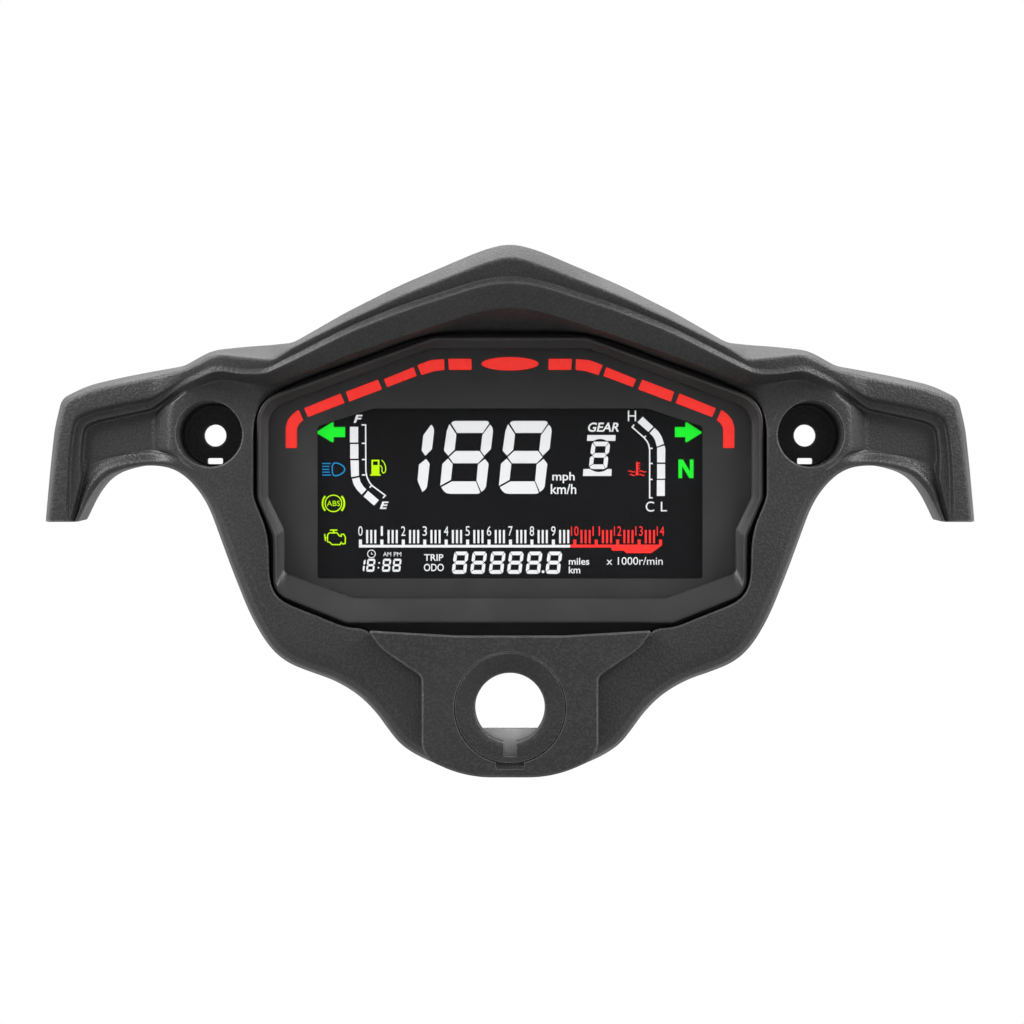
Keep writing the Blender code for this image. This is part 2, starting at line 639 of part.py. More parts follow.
# The rev bar's right-hand windows, from the lower corner round to the middle.
REV_SEGMENTS = (
    ((80.1, 23.3), (84.4, 23.3), (84.4, 31.2), (83.6, 33.9), (82.0, 35.9), (79.5, 37.8),
     (77.7, 33.8), (79.3, 32.4), (80.1, 30.6)),
    ((77.5, 38.3), (63.7, 43.9), (62.2, 40.2), (76.0, 34.9)),
    ((61.8, 44.5), (49.7, 49.1), (48.1, 45.4), (60.5, 40.7)),
    ((47.5, 49.2), (36.2, 53.8), (35.1, 50.4), (46.2, 46.2)),
    ((34.9, 54.5), (29.9, 56.4), (24.8, 56.8), (24.6, 52.7), (28.5, 52.2), (33.3, 50.7)),
    ((23.3, 56.9), (14.5, 56.9), (14.4, 52.7), (23.0, 52.7)),
)
REV_STRIP = ((85.9, 22.2), (85.9, 32.0), (84.5, 35.5), (80.6, 39.0), (35.2, 56.4), (30.0, 58.0),
             (13.2, 58.4), (13.2, 51.3), (28.0, 51.0), (33.5, 49.4), (76.5, 33.3), (78.7, 31.0),
             (78.7, 22.2))
PAD_CLEARANCE = 0.3
PAD_RECESS = 0.1           # from the mask's face down to a pad's
GUIDE_THICKNESS = 0.95
SHIFT_Z = 55.0
SHIFT_HALF_WIDTH, SHIFT_HALF_HEIGHT = 10.75, 2.7
DISPLAY_WINDOW = ((51.5, DISPLAY_TOP), (DISPLAY_HALF_WIDTH, 31.4), (DISPLAY_HALF_WIDTH, DISPLAY_BOTTOM))


def sided(loop, side):
    return [(side * x, z) for x, z in loop]


def ellipse(growth=0.0, steps=20):
    wide, high = SHIFT_HALF_WIDTH + growth, SHIFT_HALF_HEIGHT + growth
    turn = 2 * math.pi / steps
    return [(wide * math.cos(turn * i), SHIFT_Z + high * math.sin(turn * i)) for i in range(steps)]


def dial_mask():
    holes = [offset(seen(sided(segment, side), MASK_FACE), PAD_CLEARANCE)
             for segment in REV_SEGMENTS for side in (-1, 1)]
    holes += [seen(ellipse(PAD_CLEARANCE), MASK_FACE), seen(mirrored(DISPLAY_WINDOW), MASK_FACE)]
    fit = bezel_outline(BEZEL_WALL + CASE_CLEARANCE)
    return plate("dial_mask", fit, holes, MASK_FACE, MASK_FACE - MASK_THICKNESS,
                 material("mask_black", (0.03, 0.03, 0.032), 0.6))


def rev_lights():
    red = material("red_light_guide", (0.9, 0.03, 0.03), 0.3)
    strip_face = MASK_FACE - MASK_THICKNESS - GAP
    for side, word in ((-1, "left"), (1, "right")):
        strip = seen(sided(REV_STRIP, side), MASK_FACE)
        guide = plate(f"rev_light_guide_{word}", strip, [], strip_face, strip_face - GUIDE_THICKNESS, red)
        pads = [plate("pad", seen(sided(segment, side), MASK_FACE), [],
                      MASK_FACE - PAD_RECESS, strip_face - 0.3, red) for segment in REV_SEGMENTS]
        combined(guide, pads, "UNION")
    block = seen(rectangle(0, SHIFT_Z, 24.5, 7.6), MASK_FACE)
    shift = plate("shift_light_lens", block, [], strip_face, strip_face - GUIDE_THICKNESS, red)
    pad = plate("pad", seen(ellipse(), MASK_FACE), [], MASK_FACE - PAD_RECESS, strip_face - 0.3, red)
    combined(shift, [pad], "UNION")


# ---------------------------------------------------------------- display and board
def span(left, right, bottom, top):
    return [(left, bottom), (right, bottom), (right, top), (left, top)]


def display():
    glass = material("display_glass", (0.02, 0.02, 0.024), 0.08)
    front, rear = GLASS_FACE, GLASS_FACE - GLASS_THICKNESS - GAP
    plate("lcd_front_glass", span(-75.4, 75.4, -28.4, 40.4), [], front, front - GLASS_THICKNESS, glass)
    plate("lcd_rear_glass", span(-75.4, 75.4, -25.0, 37.0), [], rear, rear - GLASS_THICKNESS, glass)
    plate("backlight_diffuser", span(-74.5, 74.5, -24.5, 36.5), [], -16.6, -19.4,
          material("diffuser_acrylic", (0.75, 0.76, 0.78), 0.4))
    contact = material("contact_rubber", (0.5, 0.45, 0.4), 0.7)
    for word, bottom in (("upper", 37.5), ("lower", -28.1)):
        plate(f"zebra_strip_{word}", span(-70, 70, bottom, bottom + 2.6), [],
              front - GLASS_THICKNESS - GAP, BOARD_FACE + GAP, contact)


def lcd_holder():
    holder = plate("lcd_holder", span(-77.3, 77.3, -30.3, 42.3), [span(-75.8, 75.8, -28.8, 40.8)],
                   -13.2, -22.2, white_plastic())
    lugs = [turned("lug", side * x, z, ((3.2, -14.2), (3.2, -22.2)), white_plastic(), 12)
            for x, z in CASE_SCREWS for side in (-1, 1)]
    # A lug's inner side is trimmed so that it only meets the frame's wall.
    trim = plate("trim", span(-75.8, 75.8, -28.8, 40.8), [], -10, -25, white_plastic())
    clear = SCREW_RADIUS + GAP
    bores = [turned("bore", side * x, z, ((clear, -14.9), (clear, -25)), white_plastic(), 12)
             for x, z in CASE_SCREWS for side in (-1, 1)]
    combined(holder, lugs, "UNION")
    return combined(holder, [trim, *bores], "DIFFERENCE")


def led_bars():
    for word, z in (("upper", 26.0), ("lower", -14.0)):
        strip = rectangle(0, z, 132, 4)
        bar = plate(f"backlight_led_bar_{word}", strip, [], -21.4, -22.2, white_plastic())
        lamps = [plate("lamp", rectangle(x, z, 3.6, 2.8), [], -19.9, -21.8, white_plastic())
                 for x in range(-55, 56, 22)]
        combined(bar, lamps, "UNION")


BOARD_OUTLINE = ((26, 58, 3), (83.6, 37.5, 4), (83.6, -24, 3), (58, -34.5, 3))
CHIPS = (("controller_chip", -8, -8, 14, 14, 1.6), ("lcd_driver_chip", -44, 20, 12, 12, 1.5),
         ("supply_regulator", 40, 32, 10, 9, 3.0), ("clock_crystal", -34, 2, 11, 4.6, 3.4))


def circuit_board():
    holes = [circle(side * x, z, SCREW_RADIUS + GAP, 12) for x, z in CASE_SCREWS for side in (-1, 1)]
    plate("circuit_board", filleted(mirrored(BOARD_OUTLINE)), holes,
          BOARD_FACE, BOARD_FACE - BOARD_THICKNESS,
          material("green_circuit_board", (0.02, 0.12, 0.05), 0.4))
    face = BOARD_FACE - BOARD_THICKNESS - GAP
    for name, x, z, width, height, depth in CHIPS:
        stacked(name, ((rectangle(x, z, width, height), face),
                       (rectangle(x, z, width - 0.5, height - 0.5), face - depth)), chip_plastic())
    turned("supply_capacitor", 56, 30, ((4.0, face), (4.0, face - 5.4), (3.6, face - 5.8)),
           material("capacitor_sleeve", (0.1, 0.1, 0.12), 0.4), 18)
    for word, x in BUTTONS:
        block = rectangle(x, BUTTON_Z, 6.2, 6.2)
        switch = plate(f"{word}_switch", block, [], face, face - 3.1, chip_plastic())
        stem = turned("stem", x, BUTTON_Z, ((1.7, face - 2), (1.7, face - 3.85)), chip_plastic(), 12)
        combined(switch, [stem], "UNION")


# ---------------------------------------------------------------- the meter's back
def ear_outline(inner, centre, side):
    """A flat lug with a round end about the screw centre and a square end at the case's wall."""
    along = (Vector(centre) - Vector(inner)).normalized()
    first = math.atan2(along.y, along.x) - math.pi / 2
    points = []
    for step in range(9):
        angle = first + math.pi * step / 8
        points.append((centre[0] + EAR_RADIUS * math.cos(angle), centre[1] + EAR_RADIUS * math.sin(angle)))
    across = Vector((-along.y, along.x)) * EAR_RADIUS
    points.append((inner[0] + across.x, inner[1] + across.y))
    points.append((inner[0] - across.x, inner[1] - across.y))
    return sided(points, side)


def rear_case():
    holes = [circle(x, BUTTON_Z, BUTTON_RADIUS + GAP, 20) for _, x in BUTTONS]
    holes.append(rectangle(0, CONNECTOR_Z, CONNECTOR_SIZE[0] + 1, CONNECTOR_SIZE[1] + 1))
    holes.append(circle(VENT_X, CONNECTOR_Z, 3.35, 16))
    holes += [circle(side * x, z, SCREW_RADIUS + GAP, 12) for x, z in CASE_SCREWS for side in (-1, 1)]
    case = tub("rear_case", bezel_outline(2.4), bezel_outline(4.4), holes, CASE_RIM, CASE_FLOOR, CASE_BACK,
               dark_plastic())
    ears, bores = [], []
    for inner, centre, _ in EARS:
        for side in (-1, 1):
            ears.append(plate("ear", ear_outline(inner, centre, side), [],
                              EAR_FACE, EAR_FACE - EAR_THICKNESS, dark_plastic()))
            bores.append(boss(side * centre[0], centre[1], EAR_HOLE_RADIUS, EAR_FACE + 2, EAR_FACE - 8))
    combined(case, ears, "UNION")
    return combined(case, bores, "DIFFERENCE")


def case_fasteners():
    number = 0
    for x, z in CASE_SCREWS:
        for side in (-1, 1):
            number += 1
            screw(f"case_screw_{number}", side * x, z, CASE_BACK - GAP, -15.6)
    number = 0
    ear_back = EAR_FACE - EAR_THICKNESS
    neck = EAR_HOLE_RADIUS - 0.3
    for _, (x, z), _ in EARS:
        for side in (-1, 1):
            number += 1
            collar(f"meter_grommet_{number}", side * x, z, (
                (4.5, BOSS_END - GAP), (4.5, EAR_FACE + 0.3), (neck, EAR_FACE + 0.3),
                (neck, ear_back - 0.3), (4.5, ear_back - 0.3), (4.5, ear_back - 1.3),
                (SCREW_RADIUS + 0.3, ear_back - 1.3), (SCREW_RADIUS + 0.3, BOSS_END - GAP)), rubber(), 16)
            screw(f"meter_screw_{number}", side * x, z, ear_back - 1.3 - GAP, -9.0, 3.8, 2.4)


def connector():
    width, height = CONNECTOR_SIZE
    face = BOARD_FACE - BOARD_THICKNESS - GAP
    outer = rectangle(0, CONNECTOR_Z, width, height)
    cavity = rectangle(0, CONNECTOR_Z, width - 3, height - 3)
    socket_floor = -30.0
    tub("connector_header", outer, cavity, [], CONNECTOR_END, socket_floor, face, white_plastic())
    carrier = plate("connector_contacts", rectangle(0, CONNECTOR_Z, width - 5, height - 4.4), [],
                    socket_floor - GAP, socket_floor - 1.4, steel())
    pins = [plate("pin", rectangle(-12.25 + 3.5 * column, CONNECTOR_Z + rise, 0.9, 0.9), [],
                  socket_floor - 1.0, -36.4, steel())
            for column in range(8) for rise in (-1.5, 1.5)]
    combined(carrier, pins, "UNION")


def buttons():
    """The two push buttons, with their origins on their own axes at the inner end, and their seals."""
    for word, x in BUTTONS:
        origin = place(x, BUTTON_Z, BUTTON_INNER)
        flange = BUTTON_RADIUS + 1.2
        turned(f"{word}_button", x, BUTTON_Z, (
            (flange, BUTTON_INNER), (flange, BUTTON_INNER - 0.7), (BUTTON_RADIUS, BUTTON_INNER - 0.7),
            (BUTTON_RADIUS, BUTTON_END + 0.8), (BUTTON_RADIUS - 0.8, BUTTON_END)), rubber(), 20, origin)
        collar(f"{word}_button_seal", x, BUTTON_Z, (
            (7.0, CASE_BACK - GAP), (6.4, CASE_BACK - 1.6), (BUTTON_RADIUS + 0.4, CASE_BACK - 1.6),
            (BUTTON_RADIUS + 0.4, CASE_BACK - GAP)), rubber(), 20)


def vent_plug():
    collar_face = CASE_BACK - GAP
    turned("vent_plug", VENT_X, CONNECTOR_Z, (
        (3.0, -30.4), (3.0, collar_face), (5.0, collar_face), (4.6, CASE_BACK - 2.0)), dark_plastic(), 16)


def main():
    for old in list(bpy.data.objects):
        bpy.data.objects.remove(old)
    handle_cover()
    key_panel()
    key_escutcheon()
    lock_plate()
    key_fasteners()
    meter_bezel()
    lens()
    gaskets()
    dial_mask()
    rev_lights()
    display()
    lcd_holder()
    led_bars()
    circuit_board()
    rear_case()
    case_fasteners()
    connector()
    buttons()
    vent_plug()


main()
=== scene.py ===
"""The looks of the motorcycle instrument cluster: finer skins over the CAD part, its display, and the studio.

Shapes are written in millimetres as (x, z, height), as in the part: x to the rider's right, z up, and
height towards the rider from the flat panel of the cover. place() turns them into metres in the frame.
"""

import json
import math

import bmesh
import bpy
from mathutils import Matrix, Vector
from mathutils.geometry import tessellate_polygon

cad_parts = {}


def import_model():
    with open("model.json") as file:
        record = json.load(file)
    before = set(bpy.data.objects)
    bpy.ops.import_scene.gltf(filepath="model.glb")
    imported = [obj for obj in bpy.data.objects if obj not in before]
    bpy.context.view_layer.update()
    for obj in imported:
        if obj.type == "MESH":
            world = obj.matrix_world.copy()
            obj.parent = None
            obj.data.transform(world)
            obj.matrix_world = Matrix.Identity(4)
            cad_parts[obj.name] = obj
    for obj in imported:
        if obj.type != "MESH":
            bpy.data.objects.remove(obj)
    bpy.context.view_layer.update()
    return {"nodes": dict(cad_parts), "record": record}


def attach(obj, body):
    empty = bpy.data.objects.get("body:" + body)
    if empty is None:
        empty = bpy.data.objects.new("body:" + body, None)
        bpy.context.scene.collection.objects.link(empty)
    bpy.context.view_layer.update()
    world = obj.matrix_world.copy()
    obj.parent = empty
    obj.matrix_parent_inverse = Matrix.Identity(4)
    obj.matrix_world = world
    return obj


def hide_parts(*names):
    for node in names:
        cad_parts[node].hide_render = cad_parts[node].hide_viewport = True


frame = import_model()
for imported in list(bpy.data.materials):
    bpy.data.materials.remove(imported)

# ---------------------------------------------------------------- driving dimensions, in millimetres
MM = 0.001
PANEL_Y = -9.8             # Y of the cover's flat panel
LIFT = 0.8                 # how far the part's own zero lies above the frame's
VIEW_DISTANCE = 1180.0     # outlines marked as seen are drawn as they look from here, on the panel's plane
GAP = 0.35

REAR = -38.0
WALL = 2.5
OPENING_DEPTH = -14.0

WELL_X, WELL_Z = 113.1, 28.6
WELL_RADIUS = 12.3
WELL_FLOOR = -24.0
WELL_FLOOR_WALL = 3.0
WELL_HOLE_RADIUS = 4.2
WELL_SLOT = (5.9, 2.3)
WELL_SLOT_DROP = 9.8

KEY_Z = -74.3
KEY_RADIUS = 13.1
DISH_RADIUS = 21.2
NOTCH_WIDTH = 4.6
NOTCH_BOTTOM = -92.5
TAB_WIDTH = 9.8
KEY_PANEL_FACE = 4.2
KEY_PANEL_BACK = GAP
LOCK_PLATE_FACE = -9.0
LOCK_SCREW_X, LOCK_SCREW_Z = 26.5, -70.0
KEY_COVER_RADIUS = 19.5
PANEL_SCREW_X, PANEL_SCREW_Z = 31.0, -54.5

BEZEL_FACE = -1.8
BEZEL_LIP = -5.8
BEZEL_LIP_BACK = -7.0
BEZEL_REAR = -18.0
BEZEL_WALL = 2.0
FLANGE_FACE = -16.0
MASK_FACE = -10.8
MASK_THICKNESS = 0.8
GLASS_FACE = -13.6
SCREW_RADIUS = 1.6
BOSS_RADIUS = 4.2
BOSS_END = -19.2
BOSS_HOLE_TOP = -8.0
EARS = (((99.5, -9.0), -1.2), ((60.0, 63.5), 12.8))
CASE_RIM = -13.6
CASE_FLOOR = -31.0
CASE_BACK = -33.2

# ---------------------------------------------------------------- geometry helpers


def place(x, z, height):
    """The point in metres for a place in the part's own millimetres."""
    return Vector((x * MM, (PANEL_Y - height) * MM, (z + LIFT) * MM))


def seen_point(x, z, height):
    """A point drawn as it is seen, at the true place that it has at its own height."""
    growth = 1 - height / VIEW_DISTANCE
    return (x * growth, z * growth, height)


def seen(outline, height):
    growth = 1 - height / VIEW_DISTANCE
    return [(corner[0] * growth, corner[1] * growth) + tuple(corner[2:]) for corner in outline]


def signed_area(loop):
    return sum(a[0] * b[1] - b[0] * a[1] for a, b in zip(loop, loop[1:] + loop[:1])) / 2


def offset(loop, distance):
    """The outline grown by a distance, or shrunk by a negative one, with mitred corners."""
    side = 1 if signed_area(loop) > 0 else -1
    grown = []
    for before, here, after in zip(loop[-1:] + loop[:-1], loop, loop[1:] + loop[:1]):
        into = Vector((here[0] - before[0], here[1] - before[1])).normalized()
        out = Vector((after[0] - here[0], after[1] - here[1])).normalized()
        normal_in = Vector((into.y, -into.x)) * side
        normal_out = Vector((out.y, -out.x)) * side
        mitre = (normal_in + normal_out).normalized()
        reach = distance / max(0.5, mitre.dot(normal_in))
        grown.append((here[0] + mitre.x * reach, here[1] + mitre.y * reach))
    return grown


def filleted(corners, steps=10):
    """A closed outline through (x, z, radius) corners, each rounded by an arc."""
    points = []
    for before, here, after in zip(corners[-1:] + corners[:-1], corners, corners[1:] + corners[:1]):
        corner = Vector(here[:2])
        back = (Vector(before[:2]) - corner).normalized()
        ahead = (Vector(after[:2]) - corner).normalized()
        half = back.angle(ahead) / 2
        centre = corner + (back + ahead).normalized() * (here[2] / math.sin(half))
        start = corner + back * (here[2] / math.tan(half)) - centre
        end = corner + ahead * (here[2] / math.tan(half)) - centre
        turn = start.angle_signed(end)
        for step in range(steps + 1):
            angle = -turn * step / steps
            x = start.x * math.cos(angle) - start.y * math.sin(angle)
            z = start.x * math.sin(angle) + start.y * math.cos(angle)
            points.append((centre.x + x, centre.y + z))
    return points


def mirrored(half):
    """Both halves of a symmetric outline, from its right-hand corners read top to bottom."""
    return list(half) + [(-corner[0],) + tuple(corner[1:]) for corner in reversed(half)]


def circle(x, z, radius, steps=64):
    turn = 2 * math.pi / steps
    return [(x + radius * math.cos(turn * i), z + radius * math.sin(turn * i)) for i in range(steps)]


def rectangle(x, z, width, height):
    right, top = width / 2, height / 2
    return [(x - right, z - top), (x + right, z - top), (x + right, z + top), (x - right, z + top)]


def rounded_rectangle(x, z, width, height, radius, steps=5):
    right, top = width / 2, height / 2
    corners = ((x + right, z + top, radius), (x + right, z - top, radius),
               (x - right, z - top, radius), (x - right, z + top, radius))
    return filleted(corners, steps)


def span(left, right, bottom, top):
    return [(left, bottom), (right, bottom), (right, top), (left, top)]


def levelled(outline, height):
    return [(x, z, height) for x, z in outline]


# ---------------------------------------------------------------- pieces
SMOOTH_ANGLE = math.radians(34)


def piece(name, vertices, faces, finish, smooth_angle=SMOOTH_ANGLE):
    """An object from (x, z, height) vertices, its faces turned outwards and its gentle bends smooth."""
    mesh = bpy.data.meshes.new(name)
    mesh.from_pydata([place(*vertex) for vertex in vertices], [], faces)
    if finish:
        mesh.materials.append(finish)
    made = bpy.data.objects.new(name, mesh)
    bpy.context.scene.collection.objects.link(made)
    face_out(mesh, smooth_angle)
    return made


def face_out(mesh, smooth_angle=SMOOTH_ANGLE):
    solid = bmesh.new()
    solid.from_mesh(mesh)
    bmesh.ops.remove_doubles(solid, verts=solid.verts, dist=1e-6)
    bmesh.ops.recalc_face_normals(solid, faces=solid.faces)
    solid.to_mesh(mesh)
    solid.free()
    mesh.shade_smooth()
    mesh.set_sharp_from_angle(angle=smooth_angle)


def ring_faces(first, second, count):
    """Quads between two closed rows of vertices that start at the given indices."""
    return [(first + i, first + (i + 1) % count, second + (i + 1) % count, second + i) for i in range(count)]


def cap_faces(loops, starts):
    """Triangles over a flat outline with holes; starts says where each loop's vertices begin."""
    index = [start + i for loop, start in zip(loops, starts) for i in range(len(loop))]
    flat = [[Vector((x, z, 0.0)) for x, z in loop] for loop in loops]
    return [tuple(index[i] for i in triangle) for triangle in tessellate_polygon(flat)]


def plate(name, outer, holes, face, back, finish, bevel=0.0):
    """A flat plate between two heights, with holes through it and its front edges bevelled."""
    vertices, faces, fronts, backs = [], [], [], []
    front_loops = []
    for i, loop in enumerate([outer] + list(holes)):
        front = offset(loop, bevel if i else -bevel) if bevel else loop
        front_loops.append(front)
        fronts.append(len(vertices))
        vertices += [(x, z, face) for x, z in front]
        last = fronts[-1]
        if bevel:
            vertices += [(x, z, face - bevel) for x, z in loop]
            faces += ring_faces(last, last + len(loop), len(loop))
            last += len(loop)
        backs.append(len(vertices))
        vertices += [(x, z, back) for x, z in loop]
        faces += ring_faces(last, backs[-1], len(loop))
    faces += cap_faces(front_loops, fronts) + cap_faces([outer] + list(holes), backs)
    return piece(name, vertices, faces, finish)


def lofted_ring(name, rows, finish, smooth_angle=SMOOTH_ANGLE):
    """A closed ring through rows of (x, z, height) points, the last row joined to the first."""
    count = len(rows[0])
    vertices = [point for row in rows for point in row]
    faces = []
    for i in range(len(rows)):
        faces += ring_faces(i * count, (i + 1) % len(rows) * count, count)
    return piece(name, vertices, faces, finish, smooth_angle)


def stacked(name, sections, finish):
    """A solid through (outline, height) sections, closed by a flat cap at each end."""
    count = len(sections[0][0])
    vertices = [(x, z, height) for outline, height in sections for x, z in outline]
    faces = []
    for i in range(len(sections) - 1):
        faces += ring_faces(i * count, (i + 1) * count, count)
    last = (len(sections) - 1) * count
    faces += cap_faces([sections[0][0]], [0]) + cap_faces([sections[-1][0]], [last])
    return piece(name, vertices, faces, finish)


def turned(name, x, z, profile, finish, steps=64):
    """A solid turned about an axis along Y, from (radius, height) sections between two flat ends."""
    return stacked(name, [(circle(x, z, radius, steps), height) for radius, height in profile], finish)


def collar(name, x, z, profile, finish, steps=96):
    """A turned ring through (radius, height) points that go once round its section."""
    rows = [[(px, pz, height) for px, pz in circle(x, z, radius, steps)] for radius, height in profile]
    return lofted_ring(name, rows, finish)


def combined(target, others, operation, smooth_angle=SMOOTH_ANGLE):
    """The target with every other object joined to it or cut from it; the others are used up."""
    for other in others:
        step = target.modifiers.new(operation.lower(), "BOOLEAN")
        step.operation = operation
        step.object = other
        shape = target.evaluated_get(bpy.context.evaluated_depsgraph_get())
        mesh = bpy.data.meshes.new_from_object(shape)
        target.modifiers.remove(step)
        old = target.data
        target.data = mesh
        bpy.data.meshes.remove(old)
        bpy.data.objects.remove(other)
    face_out(target.data, smooth_angle)
    return target


def joined(name, parts, finish, smooth_angle=SMOOTH_ANGLE):
    """One object from several separate shapes; the parts are used up."""
    whole = bmesh.new()
    for part in parts:
        whole.from_mesh(part.data)
        bpy.data.objects.remove(part)
    mesh = bpy.data.meshes.new(name)
    whole.to_mesh(mesh)
    whole.free()
    if finish:
        mesh.materials.append(finish)
    made = bpy.data.objects.new(name, mesh)
    bpy.context.scene.collection.objects.link(made)
    mesh.shade_smooth()
    mesh.set_sharp_from_angle(angle=smooth_angle)
    return made


def fitted(obj, slot, *nodes, on="cluster"):
    """Puts a piece on its body, in place of the CAD nodes that it stands for; its slot is not used."""
    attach(obj, on)
    if nodes:
        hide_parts(*nodes)
    return obj


# ---------------------------------------------------------------- materials
class Paint:
    """A Principled material with short calls for the procedural nodes that vary it."""

    def __init__(self, name, colour, roughness, metallic=0.0, specular=0.5):
        self.material = bpy.data.materials.new(name)
        self.material.use_nodes = True
        self.tree = self.material.node_tree
        self.shader = self.tree.nodes["Principled BSDF"]
        self.set("Base Color", (*colour, 1.0))
        self.set("Roughness", roughness)
        self.set("Metallic", metallic)
        self.set("Specular IOR Level", specular)
        self.colour = (*colour, 1.0)
        self.height = None

    def set(self, socket, value):
        self.shader.inputs[socket].default_value = value
        return self

    def node(self, kind, inputs=(), **settings):
        made = self.tree.nodes.new(kind)
        for name, value in settings.items():
            setattr(made, name, value)
        for name, value in inputs:
            if isinstance(value, bpy.types.NodeSocket):
                self.tree.links.new(value, made.inputs[name])
            else:
                made.inputs[name].default_value = value
        return made

    def link(self, output, socket):
        self.tree.links.new(output, self.shader.inputs[socket])

    def position(self, stretch=(1.0, 1.0, 1.0)):
        """The point on the piece in metres, stretched along the axes."""
        where = self.node("ShaderNodeTexCoord").outputs["Object"]
        return self.node("ShaderNodeMapping", (("Vector", where), ("Scale", stretch))).outputs["Vector"]

    def noise(self, size, detail=2.0, stretch=(1.0, 1.0, 1.0)):
        """Noise whose lumps are about this many millimetres across."""
        return self.node("ShaderNodeTexNoise", (("Vector", self.position(stretch)), ("Scale", 1000.0 / size),
                                                ("Detail", detail))).outputs["Fac"]

    def ranged(self, value, low, high, out_low, out_high):
        """A value from one range mapped to another, and kept inside it."""
        return self.node("ShaderNodeMapRange", (("Value", value), ("From Min", low), ("From Max", high),
                                                ("To Min", out_low), ("To Max", out_high))).outputs["Result"]

    def mixed(self, share, first, second):
        mix = self.node("ShaderNodeMix", data_type="RGBA")
        for index, value in ((0, share), (6, first), (7, second)):
            if isinstance(value, bpy.types.NodeSocket):
                self.tree.links.new(value, mix.inputs[index])
            else:
                mix.inputs[index].default_value = value
        return mix.outputs[2]

    def vary_roughness(self, size, low, high, detail=3.0):
        self.link(self.ranged(self.noise(size, detail), 0.35, 0.65, low, high), "Roughness")
        return self

    def tint(self, size, other, most, detail=3.0):
        """Drifts the colour towards another in patches this many millimetres across."""
        share = self.ranged(self.noise(size, detail), 0.42, 0.68, 0.0, most)
        self.colour = self.mixed(share, self.colour, (*other, 1.0))
        self.link(self.colour, "Base Color")
        return self

    def wear(self, radius, other, most):
        """Lightens the colour towards another along edges, more in some places than in others: worn edges and
        a painted highlight along them.
        """
        rounded = self.node("ShaderNodeBevel", (("Radius", radius * MM),), samples=4).outputs["Normal"]
        flat = self.node("ShaderNodeNewGeometry").outputs["Normal"]
        alike = self.node("ShaderNodeVectorMath", ((0, rounded), (1, flat)), operation="DOT_PRODUCT")
        edge = self.ranged(alike.outputs["Value"], 0.993, 0.93, 0.0, most)
        patchy = self.ranged(self.noise(5.0, 4.0), 0.4, 0.62, 0.6, 1.0)
        share = self.node("ShaderNodeMath", ((0, edge), (1, patchy)), operation="MULTIPLY").outputs[0]
        self.colour = self.mixed(share, self.colour, (*other, 1.0))
        self.link(self.colour, "Base Color")
        return self

    def bump(self, size, depth, detail=2.0, stretch=(1.0, 1.0, 1.0)):
        """Raises the surface by noise: lumps and depth in millimetres. Calls add up."""
        relief = self.noise(size, detail, stretch)
        settings = [("Height", relief), ("Strength", 1.0), ("Distance", depth * MM)]
        if self.height:
            settings.append(("Normal", self.height))
        self.height = self.node("ShaderNodeBump", settings).outputs["Normal"]
        self.link(self.height, "Normal")
        return self


def textured_abs():
    paint = Paint("textured_black_abs", (0.016, 0.016, 0.0162), 0.5, specular=0.34)
    paint.tint(45.0, (0.021, 0.021, 0.0212), 0.8).tint(0.9, (0.03, 0.03, 0.03), 0.9, 1.0)
    # Edges and moulding lines painted much lighter: a painted highlight along them, with some wear.
    paint.wear(0.7, (0.14, 0.14, 0.14), 0.8).vary_roughness(28.0, 0.45, 0.56)
    return paint.bump(0.9, 0.22, 1.0).material


def satin_plastic():
    paint = Paint("satin_black_plastic", (0.022, 0.022, 0.0222), 0.42, specular=0.3)
    # The bezel's edges painted lighter: a painted highlight along its rim, with some wear.
    paint.tint(30.0, (0.03, 0.03, 0.0302), 0.8).wear(0.35, (0.2, 0.2, 0.2), 0.8)
    paint.vary_roughness(18.0, 0.36, 0.46)
    return paint.bump(0.6, 0.04, 1.0).material


def tinted_acrylic():
    paint = Paint("tinted_acrylic", (0.012, 0.012, 0.013), 0.04, specular=0.12)
    paint.set("Alpha", 0.12)
    return paint.vary_roughness(16.0, 0.03, 0.08).material


def mask_black():
    paint = Paint("mask_black", (0.05, 0.05, 0.0505), 0.6, specular=0.2)
    paint.tint(14.0, (0.058, 0.058, 0.0585), 0.8).vary_roughness(3.0, 0.5, 0.66)
    return paint.bump(0.3, 0.012, 1.0).material


def light_guide():
    paint = Paint("red_light_guide", (0.72, 0.022, 0.02), 0.35, specular=0.25)
    paint.set("Emission Color", (1.0, 0.042, 0.03, 1.0)).set("Emission Strength", 0.76)
    paint.tint(7.0, (0.6, 0.012, 0.014), 0.7).vary_roughness(5.0, 0.25, 0.45)
    return paint.bump(0.5, 0.01, 1.0).material


def display_glass():
    paint = Paint("display_glass", (0.0085, 0.0085, 0.0095), 0.12, specular=0.08)
    return paint.tint(25.0, (0.010, 0.0102, 0.0115), 0.8).vary_roughness(12.0, 0.08, 0.16).material


def black_rubber():
    paint = Paint("black_rubber", (0.014, 0.014, 0.014), 0.8, specular=0.3)
    paint.tint(6.0, (0.024, 0.024, 0.0235), 0.6).wear(0.4, (0.04, 0.04, 0.038), 0.5)
    paint.vary_roughness(4.0, 0.68, 0.86)
    return paint.bump(0.35, 0.02, 2.0).material


def contact_rubber():
    """Rubber with fine conducting stripes across it."""
    paint = Paint("contact_rubber", (0.42, 0.37, 0.3), 0.7)
    stripes = paint.node("ShaderNodeTexWave", (("Vector", paint.position()), ("Scale", 300.0)),
                         bands_direction="X").outputs["Fac"]
    share = paint.ranged(stripes, 0.45, 0.55, 0.0, 1.0)
    paint.colour = paint.mixed(share, paint.colour, (0.02, 0.02, 0.02, 1.0))
    paint.link(paint.colour, "Base Color")
    return paint.vary_roughness(4.0, 0.6, 0.8).bump(0.5, 0.02).material


